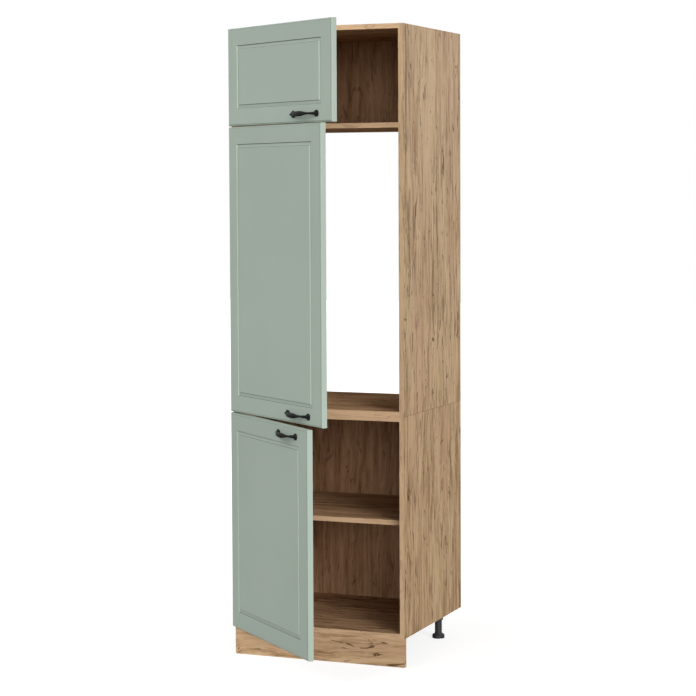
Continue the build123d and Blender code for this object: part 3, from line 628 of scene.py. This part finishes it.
@dataclass(frozen=True)
class BackFinish(Finish):
    """Thin hardboard: printed oak towards the room, raw brown board towards the wall."""

    name: str
    inside: OakFinish
    light: Colour = srgb(180, 143, 112)
    dark: Colour = srgb(124, 90, 63)
    tones: Band = (0.34, 0.64)
    mark_depth: float = 0.5
    raw: Colour = srgb(176, 143, 106)
    raw_dark: Colour = srgb(146, 113, 79)
    raw_tones: Band = (0.35, 0.65)
    raw_rough: Line = (0.22, 0.56)
    square: float = 0.5
    fineness: float = 260.0
    relief: Relief = (0.2, 0.3 * MM)
    gloss: float = 0.07

    def build(self, effects: Effects) -> None:
        """Make the material.

        Args:
            effects: The node groups that the finishes share.
        """
        nodes, shader, place = self.start()
        mapped = nodes.mapped(place["Object"], self.inside.offset, Grain.UPRIGHT)
        figure = effects.oak.place(nodes, {"Vector": mapped})
        colour = nodes.mix(nodes.between(figure["Tone"], *self.tones), self.dark, self.light)
        depth = nodes.math("MULTIPLY", figure["Mark"], self.mark_depth)
        colour = nodes.mix(depth, colour, self.inside.mark)
        skin = effects.skin.place(nodes, {"Vector": place["Object"], "Fineness": self.fineness})
        raw = nodes.mix(nodes.between(skin["Height"], *self.raw_tones), self.raw_dark, self.raw)
        rear = nodes.math("GREATER_THAN", nodes.part(place["Normal"], 1), self.square)
        nodes.fill(shader, {
            "Base Color": nodes.mix(rear, colour, raw), "Specular IOR Level": self.gloss,
            "Roughness": nodes.math("MULTIPLY_ADD", rear, *self.raw_rough),
            "Normal": nodes.bump(skin["Height"], *self.relief)})


@dataclass(frozen=True)
class FoilFinish(Finish):
    """Matt foil drawn over a routed door, with a fine pressed grain and painted light and shade in
    its groove.
    """

    name: str
    hanging: Hanging
    colour: Colour = srgb(158, 170, 159)
    cloud: Colour = srgb(155, 167, 156)
    # Painted highlight on upright groove walls, painted shade on level walls and the ledge, and
    # the share of both.
    painted_upright_highlight: Colour = srgb(182, 193, 181)
    painted_level_shade: Colour = srgb(84, 96, 87)
    painted_light_share: float = 0.65
    rim_starts: Band = (-0.9, -0.75)
    rim_ends: Band = (-0.2, -0.4)
    level: Band = (0.2, 0.6)
    panel_reach: float = 280.0 * MM
    ledge_reach: float = 295.0 * MM
    backing: Colour = srgb(214, 212, 204)
    backing_dull: Colour = srgb(210, 208, 200)
    square: float = 0.9
    fineness: float = 900.0
    pores: Noise = (1500.0, 260.0, 2.0, 0.5)
    pore_depth: float = 0.5
    rough: Line = (0.12, 0.46)
    relief: Relief = (0.14, 0.25 * MM)
    gloss: float = 0.25

    def build(self, effects: Effects) -> None:
        """Make the material: foil all round with painted highlight and shade on the groove and
        ledge walls, and pale melamine on the face towards the housing.

        Args:
            effects: The node groups that the finishes share.
        """
        nodes, shader, place = self.start()
        skin = effects.skin.place(nodes, {"Vector": place["Object"], "Fineness": self.fineness})
        pores = nodes.noise(place["Object"], self.pores)
        height = nodes.math("MULTIPLY_ADD", pores, self.pore_depth, skin["Height"])
        closed = self.hanging.swing().inverted()
        facing = nodes.along(place["Normal"], closed[1].xyz)
        across = nodes.along(place["Object"], closed[0].xyz)
        across = nodes.math("ABSOLUTE", nodes.math("ADD", across, closed[0].w))
        foil = nodes.mix(skin["Cloud"], self.colour, self.cloud)
        # Painted highlight and shade on the walls of the groove and the ledge, set by which way
        # each wall faces.
        painted_rim_mask, shade = self.paint_rim_light(nodes, nodes.part(place["Normal"], 2), facing, across)
        foil = nodes.mix(painted_rim_mask, foil, shade)
        backing = nodes.mix(skin["Cloud"], self.backing, self.backing_dull)
        inner = nodes.math("GREATER_THAN", facing, self.square)
        nodes.fill(shader, {
            "Base Color": nodes.mix(inner, foil, backing), "Specular IOR Level": self.gloss,
            "Roughness": nodes.math("MULTIPLY_ADD", skin["Height"], *self.rough),
            "Normal": nodes.bump(height, *self.relief)})

    def paint_rim_light(self, nodes: Nodes, upward: Socket, facing: Socket,
             across: Socket) -> tuple[Socket, Socket]:
        """Find the sloping walls of the groove and the ledge and paint them: painted highlight
        upright, painted shade level and on the ledge.

        Args:
            nodes: The material's nodes.
            upward: How much the surface faces up.
            facing: Minus one on the closed door's front, one on its back.
            across: The distance from the closed unit's middle.

        Returns:
            The painted light and shade on the walls, as its share and its colour.
        """
        level = nodes.between(nodes.math("ABSOLUTE", upward), *self.level)
        ledge = nodes.math("GREATER_THAN", across, self.panel_reach)
        painted_rim_mask = nodes.math("MULTIPLY", nodes.between(facing, *self.rim_starts),
                         nodes.between(facing, *self.rim_ends))
        painted_rim_mask = nodes.math("MULTIPLY", painted_rim_mask, nodes.math("LESS_THAN", across, self.ledge_reach))
        shade = nodes.mix(nodes.highest((level, ledge)), self.painted_upright_highlight, self.painted_level_shade)
        return nodes.math("MULTIPLY", painted_rim_mask, self.painted_light_share), shade


@dataclass(frozen=True)
class SkinFinish(Finish):
    """Metal, plastic or plain wood with a fine uneven skin."""

    name: str
    colour: Colour
    second: Colour
    metallic: float
    rough: Band
    fineness: float
    relief: float
    gloss: float = 0.5
    spots: Band = (0.35, 0.65)
    relief_strength: float = 0.4

    def build(self, effects: Effects) -> None:
        """Make the material.

        Args:
            effects: The node groups that the finishes share.
        """
        nodes, shader, place = self.start()
        skin = effects.skin.place(nodes, {"Vector": place["Object"], "Fineness": self.fineness})
        spots = nodes.between(skin["Height"], *self.spots)
        nodes.fill(shader, {
            "Base Color": nodes.mix(spots, self.colour, self.second),
            "Roughness": nodes.between(spots, 0.0, 1.0, *self.rough),
            "Normal": nodes.bump(skin["Height"], self.relief_strength, self.relief),
            "Metallic": self.metallic, "Specular IOR Level": self.gloss})


@dataclass(frozen=True)
class IronFinish(Finish):
    """Blackened iron: near black in the hollows, dark grey on the ridges as rubbed wear and a
    painted highlight.
    """

    name: str
    colour: Colour = srgb(10, 13, 11)
    # Ridge colour: partly rubbed wear, partly a painted highlight along the grip.
    wear_and_highlight: Colour = srgb(82, 92, 80)
    metallic: Line = (0.3, 0.1)
    rough: Line = (0.25, 0.34)
    fineness: float = 800.0
    relief: Relief = (0.25, 0.15 * MM)
    gloss: float = 0.16

    def build(self, effects: Effects) -> None:
        """Make the material.

        Args:
            effects: The node groups that the finishes share.
        """
        nodes, shader, place = self.start()
        worn = effects.worn.place(nodes, {"Vector": place["Object"]})
        skin = effects.skin.place(nodes, {"Vector": place["Object"], "Fineness": self.fineness})
        nodes.fill(shader, {
            "Base Color": nodes.mix(worn["Ridge"], self.colour, self.wear_and_highlight),
            "Metallic": nodes.math("MULTIPLY_ADD", worn["Ridge"], *self.metallic),
            "Roughness": nodes.math("MULTIPLY_ADD", skin["Height"], *self.rough),
            "Normal": nodes.bump(skin["Height"], *self.relief),
            "Specular IOR Level": self.gloss})


@dataclass(frozen=True)
class SteelFinish(Finish):
    """Nickel-plated pressed steel, faintly drawn along its length."""

    name: str
    colour: Colour = srgb(198, 196, 190)
    shade: Colour = srgb(170, 168, 162)
    drawn: Noise = (1800.0, 90.0, 3.0, 0.6)
    tones: Band = (0.35, 0.65)
    rough: Ramp = (0.3, 0.7, 0.36, 0.24)
    fineness: float = 300.0
    relief: Relief = (0.12, 0.08 * MM)

    def build(self, effects: Effects) -> None:
        """Make the material.

        Args:
            effects: The node groups that the finishes share.
        """
        nodes, shader, place = self.start()
        turned = nodes.mapped(place["Object"], Vector(), Grain.ACROSS)
        drawn = nodes.noise(turned, self.drawn)
        skin = effects.skin.place(nodes, {"Vector": place["Object"], "Fineness": self.fineness})
        nodes.fill(shader, {
            "Base Color": nodes.mix(nodes.between(drawn, *self.tones), self.shade, self.colour),
            "Roughness": nodes.between(drawn, *self.rough), "Metallic": 1.0,
            "Normal": nodes.bump(nodes.math("ADD", drawn, skin["Height"]), *self.relief)})


class Shop:
    """The bench where new pieces are shaped, one at a time."""

    @staticmethod
    def start(piece: bpy.types.Object | None = None) -> None:
        """Leave edit mode and select nothing, or the given piece alone.

        Args:
            piece: The piece to select.
        """
        if bpy.context.mode != "OBJECT":
            bpy.ops.object.mode_set(mode="OBJECT")
        bpy.ops.object.select_all(action="DESELECT")
        if piece is not None:
            piece.select_set(True)
            bpy.context.view_layer.objects.active = piece

    @staticmethod
    def pick(piece: bpy.types.Object, test: Test) -> None:
        """Enter edit mode and select the faces that pass a test.

        Args:
            piece: The piece to edit.
            test: Says of each face whether it is selected.
        """
        Shop.start(piece)
        bpy.ops.object.mode_set(mode="EDIT")
        bpy.ops.mesh.select_mode(type="FACE")
        bpy.ops.mesh.select_all(action="DESELECT")
        mesh = bmesh.from_edit_mesh(piece.data)
        mesh.normal_update()
        for face in mesh.faces:
            if test(face.calc_center_median(), face.normal):
                face.select_set(True)
        bmesh.update_edit_mesh(piece.data)

    @staticmethod
    def step(inward: float, outward: float) -> None:
        """Inset the selected faces and move them along Y."""
        bpy.ops.mesh.inset(thickness=inward, depth=0)
        bpy.ops.transform.translate(value=(0, outward, 0))

    @staticmethod
    def extrude(move: tuple[float, float, float]) -> None:
        """Extrude what is selected."""
        bpy.ops.mesh.extrude_region_move(TRANSFORM_OT_translate={"value": move})

    @staticmethod
    def join(pieces: list[bpy.types.Object], name: str) -> bpy.types.Object:
        """Join pieces into the first one and name it.

        Args:
            pieces: The pieces, of which the first one stays.
            name: The joined piece's name.

        Returns:
            The joined piece.
        """
        Shop.start(pieces[0])
        for piece in pieces[1:]:
            piece.select_set(True)
        bpy.ops.object.join()
        pieces[0].name = name
        return pieces[0]

    @staticmethod
    def apply(piece: bpy.types.Object, kind: str, **settings: object) -> None:
        """Add a modifier to a piece and apply it at once.

        Args:
            piece: The piece.
            kind: The modifier's Blender type.
            settings: The modifier's properties.
        """
        Shop.start(piece)
        modifier = piece.modifiers.new(kind.lower(), kind)
        for key, setting in settings.items():
            setattr(modifier, key, setting)
        bpy.ops.object.modifier_apply(modifier=modifier.name)

    @staticmethod
    def settle(piece: bpy.types.Object, move: Matrix | None = None) -> None:
        """Move a piece to its place and write the place into its mesh.

        Args:
            piece: The piece.
            move: The move, unless the piece is in its place already.
        """
        Shop.start(piece)
        if move is not None:
            piece.matrix_world = move @ piece.matrix_world
        bpy.ops.object.transform_apply(location=True, rotation=True, scale=True)

    @staticmethod
    def twin(piece: bpy.types.Object, name: str) -> bpy.types.Object:
        """Copy a piece with a mesh of its own.

        Args:
            piece: The piece to copy.
            name: The copy's name.

        Returns:
            The copy.
        """
        copy = piece.copy()
        copy.data = piece.data.copy()
        copy.name = name
        bpy.context.scene.collection.objects.link(copy)
        return copy


@dataclass
class Pulls:
    """Three rustic pulls of blackened iron: leaf foot, bowed grip and round foot.

    The leaf holds its stations from the grip's side to its tip, each with its place along X and
    half its width. These and the grip's half heights, from root to flare, are in millimetres.
    """

    hangings: tuple[Hanging, ...]
    screw_x: float = 89.5 * MM
    face_y: float = -21.0 * MM
    spacing: float = 128.0 * MM
    foot: float = 3.5 * MM
    leaf: tuple[tuple[float, float], ...] = (
        (12.0, 6.6), (8.0, 8.4), (3.5, 10.4), (-1.5, 12.0), (-4.5, 11.6), (-7.5, 9.8),
        (-10.0, 7.2), (-13.0, 5.0), (-17.0, 3.1), (-20.8, 1.0))
    leaf_rim: float = 0.8 * MM
    leaf_crown: float = 0.6 * MM
    disc_radius: float = 11.0 * MM
    disc_sides: int = 48
    dish: tuple[tuple[float, float], ...] = (
        (1.2 * MM, -0.5 * MM), (2.0 * MM, 0.0), (1.6 * MM, 0.9 * MM))
    button: tuple[float, float] = (3.2 * MM, 2.0 * MM)
    button_crown: float = 0.4 * MM
    reach: float = 22.0 * MM
    bow: float = 0.6
    end_inset: float = 7.0 * MM
    stations: int = 15
    oval_sides: int = 24
    slope_step: float = 0.02
    root: float = 6.4
    swell: float = 8.8
    shoulder: float = 0.55
    neck: float = 3.9
    neck_at: float = 0.85
    flare: float = 5.4
    flatness: float = 0.5
    grain: float = 0.55 * MM
    softening: tuple[float, int] = (0.5, 3)
    hammer_size: float = 5.5 * MM
    hammer_depth: float = 0.9 * MM
    back_facing: float = 0.4
    front_facing: float = 0.9
    smooth_angle: float = math.radians(50)

    def build(self, finish: Finish) -> None:
        """Forge one pull and hang a copy on each door.

        Args:
            finish: The finish of the iron.
        """
        pull = self.forge()
        for hanging in self.hangings:
            piece = Shop.twin(pull, f"{hanging.door}_pull")
            Shop.settle(piece, hanging.swing() @ Matrix.Translation(
                (self.screw_x, self.face_y, hanging.pull_height)))
            finish.paint(piece)
            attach(piece, f"{hanging.door}_door_leaf")
            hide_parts(f"{hanging.door}_handle")
            LOG.info("pull %s: %d faces", piece.name, len(piece.data.polygons))
        bpy.data.objects.remove(pull)

    def forge(self) -> bpy.types.Object:
        """Join the feet and the grip, hammer them all over and flatten the back.

        Returns:
            One pull with its leaf screw at the origin and its back on the plane Y = 0.
        """
        pull = Shop.join([self.leaf_foot(), self.disc_foot(), self.grip()], "pull")
        Shop.apply(pull, "REMESH", mode="VOXEL", voxel_size=self.grain)
        factor, iterations = self.softening
        Shop.apply(pull, "SMOOTH", factor=factor, iterations=iterations)
        hammer = bpy.data.textures.new("hammer", "VORONOI")
        hammer.noise_scale = self.hammer_size
        Shop.apply(pull, "DISPLACE", texture=hammer, texture_coords="LOCAL",
                   strength=self.hammer_depth, mid_level=1.0)
        bpy.data.textures.remove(hammer)
        Shop.pick(pull, lambda centre, normal: (
            centre.y > -self.hammer_depth and normal.y > self.back_facing))
        bpy.ops.transform.resize(value=(1, 0, 1), center_override=(0, 0, 0))
        bpy.ops.object.mode_set(mode="OBJECT")
        bpy.ops.object.shade_smooth_by_angle(angle=self.smooth_angle)
        return pull

    def leaf_foot(self) -> bpy.types.Object:
        """Draw the leaf out of one strip, then give it thickness and a raised middle.

        Returns:
            The leaf.
        """
        (first, half), (second, next_half) = self.leaf[:2]
        middle = (first + second) / 2 * MM
        Shop.start()
        bpy.ops.mesh.primitive_plane_add(size=1, location=(middle, 0, 0), rotation=(QUARTER, 0, 0))
        leaf = bpy.context.object
        leaf.scale = ((first - second) * MM, 2 * half * MM, 1)
        Shop.settle(leaf)
        bpy.ops.object.mode_set(mode="EDIT")
        bpy.ops.mesh.select_mode(type="VERT")
        bpy.ops.mesh.select_all(action="DESELECT")
        mesh = bmesh.from_edit_mesh(leaf.data)
        for vertex in mesh.verts:
            vertex.select_set(vertex.co.x < middle)
        mesh.select_flush(True)
        bmesh.update_edit_mesh(leaf.data)
        bpy.ops.transform.resize(value=(1, 1, next_half / half))
        for (start, wide), (end, narrow) in zip(self.leaf[1:], self.leaf[2:]):
            Shop.extrude(((end - start) * MM, 0, 0))
            bpy.ops.transform.resize(value=(1, 1, narrow / wide))
        bpy.ops.mesh.select_all(action="SELECT")
        Shop.extrude((0, self.leaf_crown - self.foot, 0))
        Shop.step(self.leaf_rim, -self.leaf_crown)
        bpy.ops.mesh.select_all(action="SELECT")
        bpy.ops.mesh.normals_make_consistent(inside=False)
        bpy.ops.object.mode_set(mode="OBJECT")
        return leaf

    def disc_foot(self) -> bpy.types.Object:
        """Turn the round foot with its rim, its dish and the button in its middle.

        Returns:
            The round foot.
        """
        Shop.start()
        bpy.ops.mesh.primitive_cylinder_add(
            vertices=self.disc_sides, radius=self.disc_radius, depth=self.foot,
            location=(self.spacing, -self.foot / 2, 0), rotation=(QUARTER, 0, 0))
        disc = bpy.context.object
        Shop.settle(disc)
        Shop.pick(disc, lambda centre, normal: normal.y < -self.front_facing)
        radius, height = self.button
        for inward, outward in self.dish:
            Shop.step(inward, outward)
        spent = sum(inward for inward, _ in self.dish)
        bpy.ops.mesh.inset(thickness=self.disc_radius - spent - radius, depth=0)
        Shop.extrude((0, -height, 0))
        Shop.step(radius / 3, -self.button_crown)
        bpy.ops.object.mode_set(mode="OBJECT")
        return disc

    def grip(self) -> bpy.types.Object:
        """Bridge upright ovals along the bow from the leaf to the disc.

        Returns:
            The grip.
        """
        ovals = []
        run = self.spacing - self.end_inset
        for index in range(self.stations):
            share = index / (self.stations - 1)
            before, after = (self.bow_point(min(max(share + step, 0), 1), run)
                             for step in (-self.slope_step, self.slope_step))
            slope = math.atan2(after.y - before.y, after.x - before.x)
            half = self.half_height(share) * MM
            Shop.start()
            bpy.ops.mesh.primitive_circle_add(
                vertices=self.oval_sides, radius=1, fill_type="NOTHING",
                location=self.bow_point(share, run), rotation=(0, QUARTER, slope))
            oval = bpy.context.object
            oval.scale = (half, max(half * self.flatness, self.neck * MM), 1)
            ovals.append(oval)
        grip = Shop.join(ovals, "grip")
        Shop.settle(grip)
        bpy.ops.object.mode_set(mode="EDIT")
        bpy.ops.mesh.select_all(action="SELECT")
        bpy.ops.mesh.bridge_edge_loops()
        bpy.ops.mesh.select_all(action="SELECT")
        bpy.ops.mesh.fill_holes(sides=0)
        bpy.ops.mesh.normals_make_consistent(inside=False)
        bpy.ops.object.mode_set(mode="OBJECT")
        return grip

    def bow_point(self, share: float, run: float) -> Vector:
        """Find the point of the grip's middle line at a share of its run."""
        reach = self.reach * math.sin(math.pi * share) ** self.bow
        return Vector((run * share, -self.foot / 2 - reach, 0))

    def half_height(self, share: float) -> float:
        """Work out half the grip's height: swollen by the leaf, thin at the neck.

        Args:
            share: How far along the grip, from 0 at the leaf to 1 at the disc.

        Returns:
            Half the height in millimetres.
        """
        spans = ((0.0, self.shoulder, self.root, self.swell),
                 (self.shoulder, self.neck_at, self.swell, self.neck),
                 (self.neck_at, 1.0, self.neck, self.flare))
        for low, high, start, end in spans:
            if share <= high:
                part = (share - low) / (high - low)
                return start + (end - start) * (1 - math.cos(math.pi * part)) / 2
        return self.flare


@dataclass
class Housing:
    """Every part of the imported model, with the finish that it takes."""

    nodes: dict[str, bpy.types.Object]
    effects: Effects
    hangings: tuple[Hanging, ...]

    def dress(self) -> Finish:
        """Give each node its material.

        Returns:
            The finish of the pulls.
        """
        iron = IronFinish("blackened_iron")
        foils = {f"{hanging.door}_door": FoilFinish(f"{hanging.door}_sage_foil", hanging)
                 for hanging in self.hangings}
        finishes = self.boards() | foils | {"_handle": iron} | self.fittings()
        for finish in {finish.name: finish for finish in finishes.values()}.values():
            finish.build(self.effects)
        for name, node in self.nodes.items():
            finish = next(finish for ending, finish in finishes.items() if name.endswith(ending))
            finish.paint(node)
            LOG.info("%s in %s", name, finish.name)
        return iron

    def boards(self) -> dict[str, Finish]:
        """Choose the finish of each board.

        Returns:
            The finishes by the ending of the boards' names, of which the first that fits holds.
        """
        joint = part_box("lower_right_side")[1][2]
        upper = OakFinish("oak_upper_sides", Grain.UPRIGHT, Vector((0.43, 0.21, 0.0)),
                          joint=joint)
        lower = OakFinish("oak_lower_sides", Grain.UPRIGHT, Vector((1.37, 0.85, 0.4)),
                          joint=joint)
        across = OakFinish("oak_boards", Grain.ACROSS, Vector((0.9, 1.7, 0.3)), gloss=0.0,
                           light=srgb(190, 155, 121), middle=srgb(167, 133, 101),
                           dark=srgb(124, 89, 62))
        plinth = OakFinish("oak_plinth", Grain.ACROSS, Vector((2.45, 1.9, 0.62)), edged=False,
                           light=srgb(190, 160, 126), middle=srgb(168, 138, 104),
                           dark=srgb(134, 104, 73))
        back = BackFinish("oak_back", upper)
        return {"lower_left_side": lower, "lower_right_side": lower, "_side": upper,
                "_back_panel": back, "plinth": plinth, "_panel": across, "_shelf": across,
                "niche_floor": across, "niche_ceiling": across}

    def fittings(self) -> dict[str, Finish]:
        """Choose the finish of each fitting.

        Returns:
            The finishes by the ending of the fittings' names, with steel for all that is left.
        """
        steel = SteelFinish("nickel_steel")
        black = SkinFinish("black_plastic", srgb(13, 13, 14), srgb(18, 18, 19), metallic=0.0,
                           rough=(0.42, 0.5), fineness=1400.0, relief=0.2 * MM, gloss=0.2)
        screw = SkinFinish("screw_steel", srgb(178, 176, 170), srgb(160, 158, 152),
                           metallic=1.0, rough=(0.3, 0.42), fineness=700.0, relief=0.1 * MM)
        zinc = SkinFinish("cast_zinc", srgb(168, 168, 166), srgb(150, 150, 149), metallic=0.9,
                          rough=(0.42, 0.55), fineness=900.0, relief=0.2 * MM)
        beech = SkinFinish("beech", srgb(214, 180, 138), srgb(196, 160, 118), metallic=0.0,
                           rough=(0.6, 0.7), fineness=700.0, relief=0.2 * MM)
        bumper = SkinFinish("clear_bumper", srgb(222, 224, 222), srgb(212, 214, 212),
                            metallic=0.0, rough=(0.3, 0.36), fineness=500.0, relief=0.1 * MM)
        return {"_buffers": bumper, "_foot": black, "foot_sockets": black,
                "plinth_clips": black, "wooden_dowels": beech, "cam_housings": zinc,
                "_screws": screw, "cam_bolts": screw, "shelf_pins": screw, "": steel}


@dataclass
class Lamp:
    """One broad soft light, far enough away to light the tall housing evenly from top to foot.

    Its bearing runs from the front (0) to the right (90). This, its height over the floor and
    its softness are in degrees, and a level of one lights a white surface that faces it to white.
    """

    name: str
    bearing: float
    height: float
    level: float
    softness: float

    def build(self) -> None:
        """Hang the lamp."""
        data = bpy.data.lights.new(self.name, "SUN")
        data.angle = math.radians(self.softness)
        data.energy = self.level * math.pi
        lamp = bpy.data.objects.new(self.name, data)
        lamp.rotation_euler = (math.radians(90 - self.height), 0, math.radians(self.bearing))
        bpy.context.scene.collection.objects.link(lamp)
        LOG.info("lamp %s", self.name)


@dataclass
class Room:
    """Pale floor and even light."""

    floor_size: float = 40.0
    floor_gap: float = 0.5 * MM
    paint: float = 0.35
    glow: Ramp = (0.6, 2.6, 0.78, 1.0)
    light: float = 0.3
    lamps: tuple[Lamp, ...] = (
        Lamp("key", 49.0, 17.0, 0.86, 30.0),
        Lamp("fill", -42.0, 38.0, 0.56, 50.0),
        Lamp("front", 22.0, 8.0, 0.20, 20.0),
        Lamp("rear", 150.0, 5.0, 0.30, 40.0),
    )

    def build(self) -> None:
        """Make the room round the housing."""
        self.floor()
        self.world()
        for lamp in self.lamps:
            lamp.build()

    def floor(self) -> None:
        """Lay the floor, which shows white to the camera and keeps the soft shadow."""
        Shop.start()
        bpy.ops.mesh.primitive_plane_add(size=self.floor_size, location=(0, 0, -self.floor_gap))
        floor = bpy.context.object
        floor.name = "floor"
        material = bpy.data.materials.new("floor_paint")
        material.use_nodes = True
        nodes = Nodes(material.node_tree)
        shade = (self.paint, self.paint, self.paint, 1.0)
        dull = nodes.add("ShaderNodeBsdfDiffuse", {"Color": shade})
        straight = nodes.add("ShaderNodeLightPath").outputs["Is Camera Ray"]
        far = nodes.add("ShaderNodeVectorMath", {
            0: nodes.add("ShaderNodeTexCoord").outputs["Object"]},
            operation="LENGTH").outputs["Value"]
        glow = nodes.add("ShaderNodeEmission", {
            "Strength": nodes.math("MULTIPLY", straight, nodes.between(far, *self.glow))})
        both = nodes.add("ShaderNodeAddShader", {0: dull.outputs[0], 1: glow.outputs[0]})
        nodes.add("ShaderNodeOutputMaterial", {"Surface": both.outputs[0]})
        floor.data.materials.append(material)

    def world(self) -> None:
        """Make the room's even light: white to the camera, straight or in a mirror finish."""
        world = bpy.data.worlds.new("room")
        bpy.context.scene.world = world
        world.use_nodes = True
        nodes = Nodes(world.node_tree)
        path = nodes.add("ShaderNodeLightPath").outputs
        seen = nodes.highest((path["Is Camera Ray"], path["Is Glossy Ray"],
                              path["Is Transmission Ray"]))
        light = nodes.add("ShaderNodeBackground", {"Color": WHITE, "Strength": self.light})
        white = nodes.add("ShaderNodeBackground", {"Color": WHITE, "Strength": 1.0})
        mixed = nodes.add("ShaderNodeMixShader", {
            0: seen, 1: light.outputs[0], 2: white.outputs[0]})
        nodes.add("ShaderNodeOutputWorld", {"Surface": mixed.outputs[0]})


@dataclass
class Camera:
    """The camera, at the photograph's viewing angle; its turns are in degrees."""

    place: Vector = Vector((2.6601, -6.3167, 1.5583))
    yaw: float = 21.995
    pitch: float = -3.488
    roll: float = -0.264
    lens: float = 109.41
    sensor: float = 36.0
    shift_y: float = -0.05

    def build(self) -> None:
        """Make the camera and look through it."""
        data = bpy.data.cameras.new("camera")
        data.sensor_width = self.sensor
        data.lens = self.lens
        data.shift_y = self.shift_y
        camera = bpy.data.objects.new("camera", data)
        turn = (Matrix.Rotation(math.radians(self.yaw), 4, "Z")
                @ Matrix.Rotation(math.radians(90 + self.pitch), 4, "X")
                @ Matrix.Rotation(math.radians(self.roll), 4, "Z"))
        camera.matrix_world = Matrix.Translation(self.place) @ turn
        bpy.context.scene.collection.objects.link(camera)
        bpy.context.scene.camera = camera
        LOG.info("camera with a lens of %.1f mm", self.lens)


def main() -> None:
    """Build the scene."""
    logging.basicConfig(level=logging.INFO, format="%(name)s: %(message)s")
    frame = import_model()
    bpy.context.scene.view_settings.view_transform = "Standard"
    effects = Effects(OakFigure().build(), FineSkin().build(), WornEdges().build())
    hangings = (Hanging("top", 33.0, 1.777), Hanging("middle", 37.0, 0.841),
                Hanging("low", 42.0, 0.782))
    iron = Housing(frame["nodes"], effects, hangings).dress()
    Pulls(hangings).build(iron)
    Room().build()
    Camera().build()


if __name__ == "__main__":
    main()
